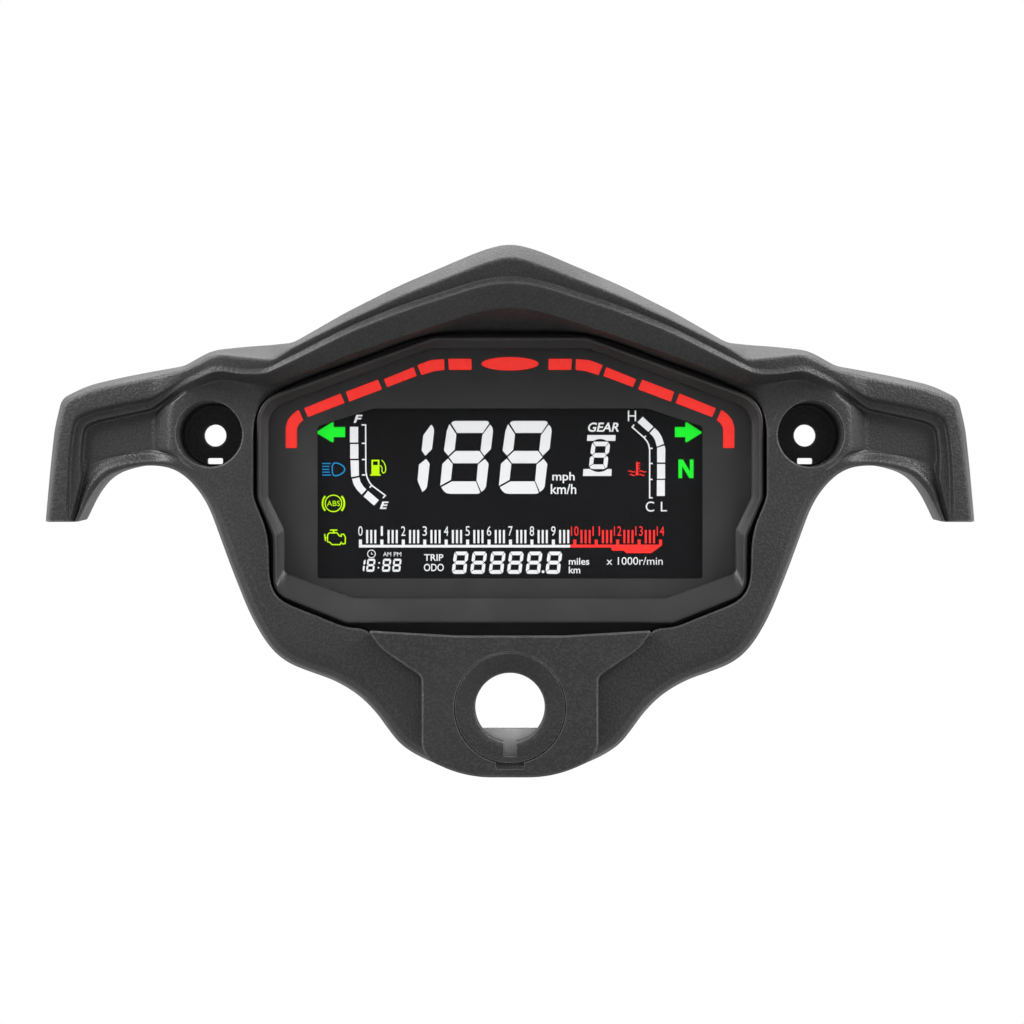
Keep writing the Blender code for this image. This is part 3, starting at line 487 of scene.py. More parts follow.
def dark_plastic():
    paint = Paint("dark_plastic", (0.017, 0.017, 0.018), 0.45, specular=0.45)
    paint.tint(24.0, (0.024, 0.024, 0.0255), 0.8).wear(0.5, (0.06, 0.06, 0.06), 0.5)
    paint.vary_roughness(12.0, 0.36, 0.54)
    return paint.bump(0.5, 0.03, 1.0).bump(9.0, 0.05, 1.0, (1.0, 1.0, 0.25)).material


def white_plastic():
    paint = Paint("white_plastic", (0.72, 0.71, 0.68), 0.45)
    paint.tint(18.0, (0.66, 0.65, 0.6), 0.7).vary_roughness(9.0, 0.36, 0.54)
    return paint.bump(0.6, 0.015, 1.0).material


def diffuser_acrylic():
    paint = Paint("diffuser_acrylic", (0.72, 0.73, 0.75), 0.38)
    paint.tint(12.0, (0.66, 0.68, 0.71), 0.6).vary_roughness(6.0, 0.3, 0.48)
    return paint.bump(0.8, 0.01, 1.0).material


def circuit_board():
    """Solder mask over fine copper tracks, which show through as slightly lighter raised lines."""
    paint = Paint("green_circuit_board", (0.008, 0.085, 0.03), 0.35)
    tracks = paint.node("ShaderNodeTexBrick", (("Vector", paint.position((1.0, 1.0, 1.0))), ("Scale", 90.0),
                                               ("Mortar Size", 0.03), ("Brick Width", 0.7))).outputs["Fac"]
    paint.colour = paint.mixed(tracks, paint.colour, (0.02, 0.17, 0.06, 1.0))
    paint.link(paint.colour, "Base Color")
    paint.tint(10.0, (0.006, 0.06, 0.025), 0.6).vary_roughness(5.0, 0.28, 0.42)
    return paint.bump(0.7, 0.01).material


def chip_plastic():
    paint = Paint("chip_plastic", (0.02, 0.02, 0.021), 0.6)
    paint.tint(3.0, (0.032, 0.032, 0.034), 0.7).vary_roughness(2.0, 0.5, 0.68)
    return paint.bump(0.25, 0.01, 1.0).material


def capacitor_sleeve():
    paint = Paint("capacitor_sleeve", (0.03, 0.032, 0.05), 0.35)
    return paint.tint(4.0, (0.045, 0.047, 0.07), 0.7).vary_roughness(3.0, 0.28, 0.45).bump(1.2, 0.02).material


def zinc_steel():
    """Bright zinc plate: rolled streaks, patches of duller passivation, and fine scratches."""
    paint = Paint("zinc_plated_steel", (0.72, 0.72, 0.72), 0.5, metallic=1.0)
    paint.tint(7.0, (0.64, 0.64, 0.64), 0.8).tint(1.5, (0.67, 0.665, 0.65), 0.5)
    paint.vary_roughness(5.0, 0.42, 0.56, 5.0)
    return paint.bump(0.5, 0.012, 3.0, (0.12, 1.0, 1.0)).material


def lit(name, colour, strength):
    """A display colour that glows evenly, with the faint mottling of a printed filter."""
    paint = Paint(name, tuple(0.6 * c for c in colour), 0.5, specular=0.1)
    mottling = paint.ranged(paint.noise(0.35, 1.0), 0.3, 0.7, 0.9, 1.0)
    glow = paint.node("ShaderNodeMixRGB", (("Fac", 1.0), ("Color1", (*colour, 1.0)), ("Color2", mottling)),
                      blend_type="MULTIPLY").outputs["Color"]
    paint.link(glow, "Emission Color")
    return paint.set("Emission Strength", strength).material


FINISHES = {made.name: made for made in (
    textured_abs(), satin_plastic(), tinted_acrylic(), mask_black(), light_guide(), display_glass(),
    black_rubber(), contact_rubber(), dark_plastic(), white_plastic(), diffuser_acrylic(), circuit_board(),
    chip_plastic(), capacitor_sleeve(), zinc_steel())}
LIT = {
    "white": lit("display_white", (0.83, 0.84, 0.85), 0.85),
    "red": lit("display_red", (1.0, 0.035, 0.03), 0.9),
    "green": lit("display_green", (0.012, 0.85, 0.03), 0.95),
    "lime": lit("display_lime", (0.55, 0.95, 0.0), 0.85),
    "blue": lit("display_blue", (0.012, 0.28, 0.62), 0.9),
}

for subpart in frame["record"]["subparts"]:
    node = frame["nodes"][subpart["node"]]
    node.data.materials.clear()
    node.data.materials.append(FINISHES[subpart["material_slot"]])


# ---------------------------------------------------------------- the cover's control sections
# Each station is a section from the meter opening out to the cover's edge, on the right-hand half.
# Hood: opening, moulded line, ridge, foot of the front band, bevel, rear edge.
HOOD = (
    ((0, 66.7, -6), (0, 76.3, 16), (0, 85.4, 22.5), (0, 87.8, 20.5), (0, 95.5, 23), (0, 100.4, 12)),
    ((26, 66.7, -6), (11, 74.9, 15.8), (10.6, 84.2, 22.2),
     (10.4, 86.6, 20.2), (10, 92.6, 22.6), (9.8, 98.1, 12)),
    ((38.5, 63.8, -6), (38.5, 65.9, 14), (40.5, 74.4, 20.5),
     (41, 76.8, 18.6), (41.4, 80.3, 20.8), (41.4, 84.6, 10)),
    ((57, 56.6, -6), (59.3, 58.7, 11), (60.5, 66.6, 17),
     (60.9, 68.7, 15.3), (61.3, 71.4, 17.3), (61.7, 74.4, 7)),
    ((76, 49.8, -6), (79, 51.0, 5.5), (82.3, 55.6, 11.5),
     (82.9, 57.4, 10.3), (83.4, 60.6, 12), (81.5, 63, 1)),
    ((86.5, 45.3, -5), (88.9, 47.1, 2), (92.4, 51.1, 8.8),
     (91.6, 53.0, 8.2), (89.5, 56.4, 9.5), (90, 62.1, -8)),
    ((92.8, 41.0, -4), (97.5, 47.5, 1), (101.5, 51.0, 8.2),
     (101.3, 52.9, 7.6), (100, 57.4, 8.6), (99, 61.5, -12)),
    ((95.6, 36, -2), (109, 49.3, 1), (110.2, 52.6, 7.5),
     (110.7, 54.7, 6.9), (110.8, 58.9, 7.4), (112, 60.1, -10)),
    ((96.5, 31, -1), (120.4, 45.2, 0.4), (121.4, 47.6, 3.2),
     (121.8, 49.4, 2.8), (121.8, 52.8, 4), (122.6, 54.2, -9)),
)
# Wing: opening, panel, foot of the slope, recess, step, ledge, rib edge, rear edge.
WING = (
    ((96.7, 28, 0), (127.6, 40, 0), (133.2, 37.0, -8), (133.8, 37.2, -8),
     (134.5, 37.4, -8), (135, 40.4, -4), (133.5, 50.2, -0.6), (134, 52.2, -13)),
    ((96.7, 25, 0), (128, 35.5, 0), (133.8, 33.6, -8), (141, 32.4, -8),
     (146, 34.9, -8), (147, 38.4, -4), (145.5, 47.7, -1), (146, 49.9, -14)),
    ((96.7, 22, 0), (128.1, 32, 0), (134, 31, -8), (149, 29, -8),
     (156.6, 32.6, -8), (158.4, 35.7, -4), (157.6, 45.2, -1), (158.7, 46.9, -14)),
    ((96.7, 19.5, 0), (128.1, 29, 0), (134, 29, -8), (154, 27, -8),
     (159.6, 30.4, -8), (163.2, 33.4, -4), (167.2, 41.2, -1), (168.6, 42, -14)),
    ((96.7, 17.5, 0), (128.1, 26.6, 0), (134, 26.8, -8), (156.4, 24.8, -8),
     (160.3, 25, -8), (164.4, 27.2, -4), (169.8, 30.5, -1), (171.2, 31, -14)),
    ((96.7, 15.5, 0), (128.1, 25, 0), (134, 25.2, -8), (157.2, 22.4, -8),
     (160.6, 19.6, -8), (165.4, 16.4, -4), (171.3, 17.4, -1), (172.7, 18, -14)),
    ((96.7, 14, 0), (128.1, 24.2, 0), (133.9, 24.3, -8), (157, 21.4, -8),
     (160, 17.4, -8), (165.6, -4.3, -5), (173.6, -4.3, -1.5), (174.7, -4.5, -14)),
    ((96.7, 12.5, 0), (128.1, 23.6, 0), (133.9, 23.8, -8), (156.6, 20.9, -8),
     (159.4, 17.1, -8.2), (164.2, -4.3, -8), (163.3, -4.3, -6.6), (162.4, -4.5, -8.5)),
    ((96.7, 11, 0), (128, 23, 0), (133.8, 23.4, -8), (156, 20.4, -8),
     (158.7, 17.1, -8.2), (160.2, 9.4, -7.8), (158.6, 8, -5.6), (157.3, 6.4, -7.5)),
    ((96.7, 9.5, 0), (127.9, 22.6, 0), (133.7, 23.1, -8), (152.5, 20.3, -8),
     (155.2, 18.5, -8.2), (154.5, 17.1, -7.7), (152.6, 14.8, -5.3), (151.6, 13.2, -7)),
    ((96.7, 8, 0), (127.8, 22.2, -0.1), (133.6, 22.9, -8), (141, 21.6, -8),
     (143.5, 21, -8.2), (143.3, 20.2, -7.7), (142.7, 17.5, -5.2), (142.4, 16.2, -7)),
    ((96.7, 6.5, 0), (127.2, 21.7, -0.2), (132.6, 22.4, -7.6), (133, 22.1, -7.8),
     (133.2, 21.8, -8), (133.4, 21, -7.5), (133.7, 18.2, -5), (133.9, 16.9, -7)),
    ((96.3, 4, 0), (123.6, 19.6, -0.2), (124.2, 19.4, -0.7), (124.4, 19.3, -0.9),
     (124.6, 19.2, -1.2), (124.9, 18.6, -1.6), (126, 16.7, -3), (126.6, 15.6, -7)),
    ((94.5, -0.5, 0), (116.9, 15.2, -0.1), (117.2, 14.9, -0.3), (117.4, 14.7, -0.5),
     (117.6, 14.5, -0.8), (118, 14, -1.2), (119.6, 12.3, -3.2), (120.3, 11.3, -8)),
)
ARCH_START = 7             # the wing's first section that lies on the arch under it
# Lower half: the cover's edge and the meter opening. Everything between follows from insets.
LOWER = (
    ((113.8, 2.8), (92.3, -5.8)),
    ((109, -10.2), (90.8, -13)),
    ((104.5, -22.6), (90.8, -25.8)),
    ((97.5, -40), (88.6, -31.8)),
    ((91, -51.1), (84.3, -35.2)),
    ((84.2, -57.3), (78, -37.8)),
    ((75.2, -60.9), (71, -40.5)),
    ((66.2, -63.9), (62, -44.3)),
    ((57.2, -69.2), (54.4, -44.6)),
    ((50.5, -75.8), (51.6, -48.2)),
    ((45.9, -82.3), (40, -48.2)),
    ((41.2, -88.3), (28, -48.2)),
    ((34, -92.9), (20, -48.2)),
    ((24, -97), (13, -48.2)),
    ((12, -99.4), (6.5, -48.2)),
    ((0, -99.9), (0, -48.2)),
)
# How far each row of the lower half lies inside the edge, and its height.
LOWER_ROWS = (("panel", 8.0, 0.0), ("foot", 7.0, -0.1), ("recess", 6.2, -0.2), ("step", 5.4, -0.5),
              ("ledge", 3.4, -1.0), ("rib", 1.1, -3.8), ("edge", 0.0, -12.5))


def blended(a, b, share):
    return tuple(p + (q - p) * share for p, q in zip(a, b))


def lower_sections():
    """The lower half's sections, made from insets of the cover's edge."""
    half = [edge for edge, _ in LOWER]
    above = WING[-1][-1][:2]
    loop = [above] + half + [(-x, z) for x, z in reversed(half[:-1])] + [(-above[0], above[1])]
    insets = {name: offset(loop, -distance) for name, distance, _ in LOWER_ROWS}
    sections = []
    for i, (_, opening) in enumerate(LOWER):
        rows = [(*opening, 0.0)]
        rows += [(*insets[name][i + 1], height) for name, _, height in LOWER_ROWS]
        sections.append(rows)
    return sections


def cover_sections():
    """Every section of the right-hand half as the same 10 points, from the opening to the edge.

    On the wing's outside the recess ends in a steep step; from the arch on its wall slopes evenly.
    """
    sections = []
    for opening, line, ridge, foot, bevel, edge in HOOD:
        slope = [blended(line, ridge, share) for share in (0.35, 0.7)]
        sections.append([opening, line, *slope, ridge, blended(ridge, foot, 0.4),
                         foot, blended(foot, bevel, 0.12), bevel, edge])
    for i, station in enumerate(WING + tuple(lower_sections())):
        opening, panel, foot, recess, step, ledge, rib, edge = station
        riser = blended(step, ledge, 0.25)
        rise = blended(ledge, rib, 0.2)
        if i < ARCH_START:
            riser = (riser[0], riser[1], ledge[2])
            rise = (rise[0], rise[1], rib[2])
        sections.append([opening, panel, foot, recess, step, riser, ledge, rise, rib, edge])
    return [[seen_point(*point) for point in section] for section in sections]


def both_sides(row):
    """A row of the right-hand half from the top centre to the bottom centre, closed by its mirror image."""
    return row + [(-x, z, height) for x, z, height in reversed(row[1:-1])]


def moved(row, distance, height=None, drop=0.0):
    """A closed row grown in plan, at its own height less a drop or at a given one."""
    plan = offset([point[:2] for point in row], distance)
    return [(x, z, point[2] - drop if height is None else height) for (x, z), point in zip(plan, row)]


def between(first, second, share):
    return [blended(a, b, share) for a, b in zip(first, second)]


def lowered(row, drop):
    return [(x, z, height - drop) for x, z, height in row]


# Where each station's samples lie, as shares of the way to its neighbours.
STATION_STEPS = (-0.5, -0.34, -0.2, -0.1, 0.0, 0.1, 0.2, 0.34)
# How far from a station its rounding may begin: along the hood, the wing's outside and its arch,
# and the lower half, from the top centre down.
STATION_ROUNDING = (7.0, 7.0, 6.0, 6.0, 3.0, 3.0, 4.0, 4.0, 2.0) + (
    2.0, 5.0, 5.0, 3.0, 3.0, 7.0, 0.6, 0.6, 5.0, 7.0, 7.0, 7.0, 7.0, 7.0) + (7.0,) * 16
# How far from a row its rounding begins, in the hood and in the rest of the cover.
OUTER_ROUNDING = ((0.4, 0.4), (0.9, 0.8), (0.5, 1.8), (1.0, 1.4), (1.0, 0.9), (2.6, 0.9), (1.2, 0.8),
                  (1.3, 0.8), (0.8, 0.8), (1.5, 1.5), (1.3, 1.2), (0.5, 0.5))
INNER_ROUNDING = ((0.5, 0.5),) + ((2.0, 2.0),) * 8 + ((0.4, 0.4),)


def arc_point(before, here, after, back, ahead, along):
    """A point of the parabola that rounds a corner; back and ahead say where it starts and ends."""
    start = here + (before - here) * back
    end = here + (after - here) * ahead
    return start * (1 - along) ** 2 + here * 2 * along * (1 - along) + end * along ** 2


def rounded_row(row):
    """A closed row of stations with rounded corners, sampled at the same shares in every row."""
    points = []
    corners = [Vector(point) for point in row]
    roundings = STATION_ROUNDING + STATION_ROUNDING[-2:0:-1]
    for before, here, after, reach in zip(corners[-1:] + corners[:-1], corners, corners[1:] + corners[:1],
                                          roundings):
        back = min(0.5, reach / max(0.1, (before - here).length))
        ahead = min(0.5, reach / max(0.1, (after - here).length))
        for step in STATION_STEPS:
            if step <= -back:
                points.append(here + (before - here) * -step)
            elif step >= ahead:
                points.append(here + (after - here) * step)
            else:
                points.append(arc_point(before, here, after, back, ahead, (step + back) / (back + ahead)))
    return points


def hood_share(column, columns):
    """1 in the hood, 0 in the rest of the cover, blended over one station."""
    station = column / len(STATION_STEPS)
    stations = columns / len(STATION_STEPS)
    from_top = min(station, stations - station)
    return max(0.0, min(1.0, len(HOOD) - from_top))


def rounded_rows(rows, roundings, samples):
    """Closed rows with the edges between them rounded: each row becomes a few rows close together."""
    columns = len(rows[0])
    shares = [hood_share(column, columns) for column in range(columns)]
    made = []
    for i, (in_hood, elsewhere) in enumerate(roundings):
        before, here, after = rows[i - 1], rows[i], rows[(i + 1) % len(rows)]
        for sample in range(samples[i]):
            along = sample / (samples[i] - 1)
            row = []
            for column, share in enumerate(shares):
                reach = in_hood * share + elsewhere * (1 - share)
                a, b, c = before[column], here[column], after[column]
                back = min(0.48, reach / max(0.01, (a - b).length))
                ahead = min(0.48, reach / max(0.01, (c - b).length))
                row.append(tuple(arc_point(a, b, c, back, ahead, along)))
            made.append(row)
    return made


def cover_rows():
    """The cover's control rows once round its section: over the outside and back along the inside."""
    sections = cover_sections()
    rows = [both_sides([section[i] for section in sections]) for i in range(len(sections[0]))]
    opening, panel, foot, recess, step, _, ledge, _, rib, edge = rows
    outside = [levelled([point[:2] for point in opening], OPENING_DEPTH)] + rows
    outside.append(moved(edge, -0.8, height=REAR))
    inside = [
        moved(edge, -0.8 - WALL, height=REAR),
        moved(edge, -WALL, drop=1.0),
        moved(rib, -1.6, drop=2.8),
        lowered(between(ledge, recess, 0.15), 2.6),
        lowered(between(step, recess, 0.15), 2.6),
        lowered(recess, 2.6),
        lowered(foot, 2.6),
        lowered(between(panel, foot, 0.3), 2.8),
        moved(opening, WALL, drop=2.8),
        moved(opening, WALL, height=OPENING_DEPTH),
    ]
    return outside, inside


def cover_shell(finish):
    outside, inside = cover_rows()
    rows = [rounded_row(row) for row in outside + inside]
    samples = (5,) * len(outside) + (3,) * len(inside)
    fine = rounded_rows(rows, OUTER_ROUNDING + INNER_ROUNDING, samples)
    return lofted_ring("handle_cover_skin", fine, finish)


def tube(x, z, radius, top, end, steps=32):
    return turned("tube", x, z, ((radius, top), (radius, end)), None, steps)


def well_cup(side):
    """The cup of a well behind the panel, with a chamfered foot."""
    x = side * WELL_X
    outer = WELL_RADIUS + 2.4
    back = WELL_FLOOR - WELL_FLOOR_WALL
    return turned("cup", x, WELL_Z, ((outer, -0.9), (outer, back + 0.8), (outer - 0.8, back)), None)


def well_cut(side):
    """The well itself: a rounded mouth, a wall with a slight draught, a seat and the fixing hole."""
    mouth = [(WELL_RADIUS + 1.1 * (1 - math.cos(a)), 0.2 - 1.1 * (1 - math.sin(a)))
             for a in [math.pi / 2 * i / 6 for i in range(6, -1, -1)]]
    profile = [(WELL_RADIUS + 1.1, 6.0)] + mouth + [
        (WELL_RADIUS - 0.2, WELL_FLOOR + 0.8), (WELL_RADIUS - 1.0, WELL_FLOOR),
        (WELL_HOLE_RADIUS + 0.5, WELL_FLOOR), (WELL_HOLE_RADIUS, WELL_FLOOR - 0.5),
        (WELL_HOLE_RADIUS, WELL_FLOOR - WELL_FLOOR_WALL - 5)]
    return turned("well", side * WELL_X, WELL_Z, profile, None, 96)


def handle_cover():
    finish = FINISHES["textured_black_abs"]
    cover = cover_shell(finish)
    added, cuts, slots = [], [], []
    for side in (-1, 1):
        added.append(well_cup(side))
        cuts.append(well_cut(side))
        slot = rounded_rectangle(side * WELL_X, WELL_Z - WELL_SLOT_DROP, *WELL_SLOT, 0.6)
        slots.append(plate("slot", slot, [], WELL_FLOOR + 2, WELL_FLOOR - WELL_FLOOR_WALL - 5, None))
        for (x, z), top in EARS:
            added.append(turned("boss", side * x, z, (
                (BOSS_RADIUS * 0.45, top), (BOSS_RADIUS, top - 2.6), (BOSS_RADIUS, BOSS_END)), None, 48))
            cuts.append(tube(side * x, z, SCREW_RADIUS + GAP, BOSS_HOLE_TOP, REAR))
        added.append(tube(side * LOCK_SCREW_X, LOCK_SCREW_Z, BOSS_RADIUS, -1.2, LOCK_PLATE_FACE + GAP))
        cuts.append(tube(side * LOCK_SCREW_X, LOCK_SCREW_Z, SCREW_RADIUS + GAP, -1.5, LOCK_PLATE_FACE - 5))
        cuts.append(tube(side * PANEL_SCREW_X, PANEL_SCREW_Z, SCREW_RADIUS + GAP, 5, -6))
    cuts.append(tube(0, KEY_Z, KEY_COVER_RADIUS, 5, -8, 96))
    combined(cover, [joined("added", added, None)], "UNION")
    combined(cover, [joined("cuts", cuts, None)], "DIFFERENCE")
    combined(cover, [joined("slots", slots, None)], "DIFFERENCE")
    return fitted(cover, "textured_black_abs", "handle_cover")


# ---------------------------------------------------------------- key panel and its ring
KEY_PANEL_OUTLINE = ((20, -47.3, 40), (53.4, -45.4, 0.6), (48.6, -52.3, 20), (33.2, -62.7, 4),
                     (33.2, -93.1, 9), (16.4, -100.6, 45))
PANEL_CHAMFER = 0.5


RIM_TILT = 2.3             # how much lower the ring's rim lies at the bottom than at the top
RIM_RISE = 0.75            # how far its highest part stands above the height it is drawn at


def rounded_edge(outline, radius, face, steps=5):
    """Sections that round a plate's front edge: from its side up to its face."""
    sections = []
    for step in range(steps + 1):
        angle = math.pi / 2 * step / steps
        inset = radius * (1 - math.cos(angle))
        sections.append((offset(outline, -inset), face - radius * (1 - math.sin(angle))))
    return sections


def key_panel():
    outline = filleted(seen(mirrored(KEY_PANEL_OUTLINE), KEY_PANEL_FACE), 12)
    panel = stacked("key_panel_skin", (
        (offset(outline, -0.3), KEY_PANEL_BACK), (outline, KEY_PANEL_BACK + 0.3),
        (outline, KEY_PANEL_FACE - PANEL_CHAMFER), (offset(outline, -PANEL_CHAMFER), KEY_PANEL_FACE)),
        FINISHES["textured_black_abs"])
    seat = tube(0, KEY_Z, DISH_RADIUS - 0.2, 8, -3, 128)
    tab_z = KEY_Z - DISH_RADIUS
    notch = plate("notch", rounded_rectangle(0, tab_z, TAB_WIDTH + 0.6, 3.0, 0.5), [], 8, -3, None)
    screws = [tube(side * PANEL_SCREW_X, PANEL_SCREW_Z, SCREW_RADIUS + GAP, 2.8, -3) for side in (-1, 1)]
    combined(panel, [seat, notch, joined("screw_holes", screws, None)], "DIFFERENCE")
    return fitted(panel, "textured_black_abs", "key_panel")


def key_escutcheon():
    """The dished ring: its rim is flush with the panel at the top and sunk into it at the bottom."""
    edge = DISH_RADIUS - GAP
    neck = KEY_RADIUS + 2.1
    rows = []
    for across, height in ((1.0, GAP), (1.0, 2.0), (1.0, 3.2), (0.97, 3.4), (0.85, 3.15), (0.6, 2.45),
                           (0.35, 1.9), (0.15, 1.6), (0.04, 1.25), (0.0, 0.7)):
        row = []
        for x, z in circle(0, KEY_Z, KEY_RADIUS + (edge - KEY_RADIUS) * across, 128):
            highness = (1 + (z - KEY_Z) / (KEY_RADIUS + (edge - KEY_RADIUS) * across)) / 2
            tilt = RIM_TILT * (min(1.0, highness * 1.3) - 1.0) + RIM_RISE
            row.append((x, z, height + tilt * across if height > 2.1 else height))
        rows.append(row)
    for radius, height in ((KEY_RADIUS, -7.5), (neck, -7.5), (neck, -0.2)):
        rows.append(levelled(circle(0, KEY_Z, radius, 128), height))
    ring = lofted_ring("key_escutcheon_skin", rows, FINISHES["textured_black_abs"])
    tab = plate("tab", rectangle(0, KEY_Z - edge, TAB_WIDTH, 2.2), [], 1.4, GAP + 0.1, None)
    combined(ring, [tab], "UNION")
    middle = (KEY_Z + NOTCH_BOTTOM) / 2
    notch = plate("notch", rectangle(0, middle, NOTCH_WIDTH, KEY_Z - NOTCH_BOTTOM), [], 8, -12, None)
    combined(ring, [notch], "DIFFERENCE")
    return fitted(ring, "textured_black_abs", "key_escutcheon")


# ---------------------------------------------------------------- the meter's front
BEZEL_OUTER = ((29, 65.4, 6), (95.4, 41.3, 12), (95.4, 4.5, 5),
               (89.4, -9.8, 5), (89.3, -31.5, 8), (61.5, -42.7, 5))
BEZEL_INNER = ((30, 60.9, 6), (90.8, 38.0, 9), (90.8, 4.9, 3),
               (84.8, -7.5, 3), (84.8, -23.6, 2.5), (58.8, -33.2, 3))
BEZEL_FLANGE = ((29.8, 68.0, 6), (97.9, 43.2, 12), (97.9, 4.2, 5),
                (91.9, -10.1, 5), (91.9, -33.4, 8), (62.8, -48.6, 5))


def bezel_outline(inset=0.0):
    return offset(filleted(mirrored(BEZEL_OUTER), 10), -inset)


def inner_outline(growth=0.0):
    return offset(filleted(seen(mirrored(BEZEL_INNER), BEZEL_LIP), 10), growth)


def meter_bezel():
    """The ring round the lens: a narrow rounded rim, a face sloping inwards and a thin lip."""
    outer, cavity, window = bezel_outline(), bezel_outline(BEZEL_WALL), inner_outline()
    flange = filleted(mirrored(BEZEL_FLANGE), 10)
    rim = [levelled(loop, height) for loop, height in rounded_edge(outer, 0.7, BEZEL_FACE, 4)]
    shoulder = [levelled(bezel_outline(1.3), BEZEL_FACE - 0.05)]
    lip = [levelled(inner_outline(0.5), BEZEL_LIP + 0.35), levelled(inner_outline(0.12), BEZEL_LIP + 0.05),
           levelled(window, BEZEL_LIP - 0.3)]
    rows = [levelled(flange, BEZEL_REAR), levelled(flange, FLANGE_FACE - 0.3),
            levelled(offset(flange, -0.3), FLANGE_FACE), levelled(outer, FLANGE_FACE)]
    rows += rim + shoulder + lip
    rows += [levelled(window, BEZEL_LIP_BACK), levelled(cavity, BEZEL_LIP_BACK), levelled(cavity, BEZEL_REAR)]
    made = lofted_ring("meter_bezel_skin", rows, FINISHES["satin_black_plastic"])
    return fitted(made, "satin_black_plastic", "meter_bezel")


# The rev bar's right-hand windows, from the lower corner round to the middle.
REV_SEGMENTS = (
    ((80.1, 23.3), (84.4, 23.3), (84.4, 31.2), (83.6, 33.9), (82.0, 35.9), (79.5, 37.8),
     (77.7, 33.8), (79.3, 32.4), (80.1, 30.6)),
    ((77.5, 38.3), (63.7, 43.9), (62.2, 40.2), (76.0, 34.9)),
    ((61.8, 44.5), (49.7, 49.1), (48.1, 45.4), (60.5, 40.7)),
    ((47.5, 49.2), (36.2, 53.8), (35.1, 50.4), (46.2, 46.2)),
    ((34.9, 54.5), (29.9, 56.4), (24.8, 56.8), (24.6, 52.7), (28.5, 52.2), (33.3, 50.7)),
    ((23.3, 56.9), (14.5, 56.9), (14.4, 52.7), (23.0, 52.7)),
)
REV_STRIP = ((85.9, 22.2), (85.9, 32.0), (84.5, 35.5), (80.6, 39.0), (35.2, 56.4), (30.0, 58.0),
             (13.2, 58.4), (13.2, 51.3), (28.0, 51.0), (33.5, 49.4), (76.5, 33.3), (78.7, 31.0),
             (78.7, 22.2))
SHIFT_Z = 55.0
SHIFT_HALF_WIDTH, SHIFT_HALF_HEIGHT = 10.75, 2.55
DISPLAY_WINDOW = ((51.5, 38.2, 1.0), (72.4, 31.4, 1.0), (72.4, -25.8, 1.0))
PAD_CLEARANCE = 0.25
GENTLE_BEND = math.radians(45)


def softened(loop):
    """An outline with gentle bends drawn as arcs and its corners just broken."""
    corners = []
    for before, here, after in zip(loop[-1:] + loop[:-1], loop, loop[1:] + loop[:1]):
        into = Vector(here) - Vector(before)
        out = Vector(after) - Vector(here)
        corners.append((*here, 3.0 if into.angle(out) < GENTLE_BEND else 0.3))
    return filleted(corners, 5)


def rev_windows(side):
    return [softened([(side * x, z) for x, z in segment]) for segment in REV_SEGMENTS]


def shift_window():
    turn = math.tau / 72
    return [(SHIFT_HALF_WIDTH * math.cos(turn * i), SHIFT_Z + SHIFT_HALF_HEIGHT * math.sin(turn * i))
            for i in range(72)]


def dial_mask():
    """The printed mask with a crisp bevelled edge round each window."""
    windows = rev_windows(-1) + rev_windows(1) + [shift_window(), filleted(mirrored(DISPLAY_WINDOW), 4)]
    outline = bezel_outline(BEZEL_WALL + 0.4)
    made = plate("dial_mask_skin", outline, [seen(window, MASK_FACE) for window in windows],
                 MASK_FACE, MASK_FACE - MASK_THICKNESS, FINISHES["mask_black"], 0.12)
    fitted(made, "mask_black", "dial_mask")


def light_pad(window):
    """A raised pad of a light guide: it fills a window of the mask, with a rounded rim."""
    fit = seen(offset(window, -PAD_CLEARANCE), MASK_FACE)
    return stacked("pad", ((fit, MASK_FACE - MASK_THICKNESS - GAP - 0.3), (fit, MASK_FACE - 0.45),
                           (offset(fit, -0.12), MASK_FACE - 0.25)), None)


def rev_lights():
    """The red light guides: a strip behind the mask with a pad in each window."""
    face = MASK_FACE - MASK_THICKNESS - GAP
    back = face - 0.95
    for side, word in ((-1, "left"), (1, "right")):
        strip = seen([(side * x, z) for x, z in REV_STRIP], MASK_FACE)
        guide = plate(f"rev_light_guide_{word}_skin", strip, [], face, back, FINISHES["red_light_guide"])
        combined(guide, [light_pad(window) for window in rev_windows(side)], "UNION")
        fitted(guide, "red_light_guide", f"rev_light_guide_{word}")
    block = seen(rounded_rectangle(0, SHIFT_Z, 24.5, 7.6, 1.0), MASK_FACE)
    lens = plate("shift_light_lens_skin", block, [], face, back, FINISHES["red_light_guide"])
    combined(lens, [light_pad(shift_window())], "UNION")
    fitted(lens, "red_light_guide", "shift_light_lens")


# ---------------------------------------------------------------- the display's print, as it is seen
INK_FACE = GLASS_FACE + 0.16
INK_BACK = GLASS_FACE + 0.06
INK = {colour: ([], []) for colour in LIT}


def ink_faces(colour, points, faces):
    """Adds flat faces over (x, z) points to what a colour prints."""
    vertices, printed = INK[colour]
    start = len(vertices)
    vertices.extend(seen_point(x, z, INK_FACE) for x, z in points)
    printed.extend(tuple(start + i for i in face) for face in faces)


def ink(colour, outer, *holes):
    """Prints a shape as a thin plate, with holes in it."""
    vertices, faces = INK[colour]
    loops = [list(outer)] + [list(hole) for hole in holes]
    fronts, backs = [], []
    for loop in loops:
        fronts.append(len(vertices))
        vertices += [seen_point(x, z, INK_FACE) for x, z in loop]
        backs.append(len(vertices))
        vertices += [seen_point(x, z, INK_BACK) for x, z in loop]
        faces += ring_faces(fronts[-1], backs[-1], len(loop))
    faces += cap_faces(loops, fronts) + cap_faces(loops, backs)


def ink_block(colour, left, right, bottom, top):
    ink(colour, span(left, right, bottom, top))


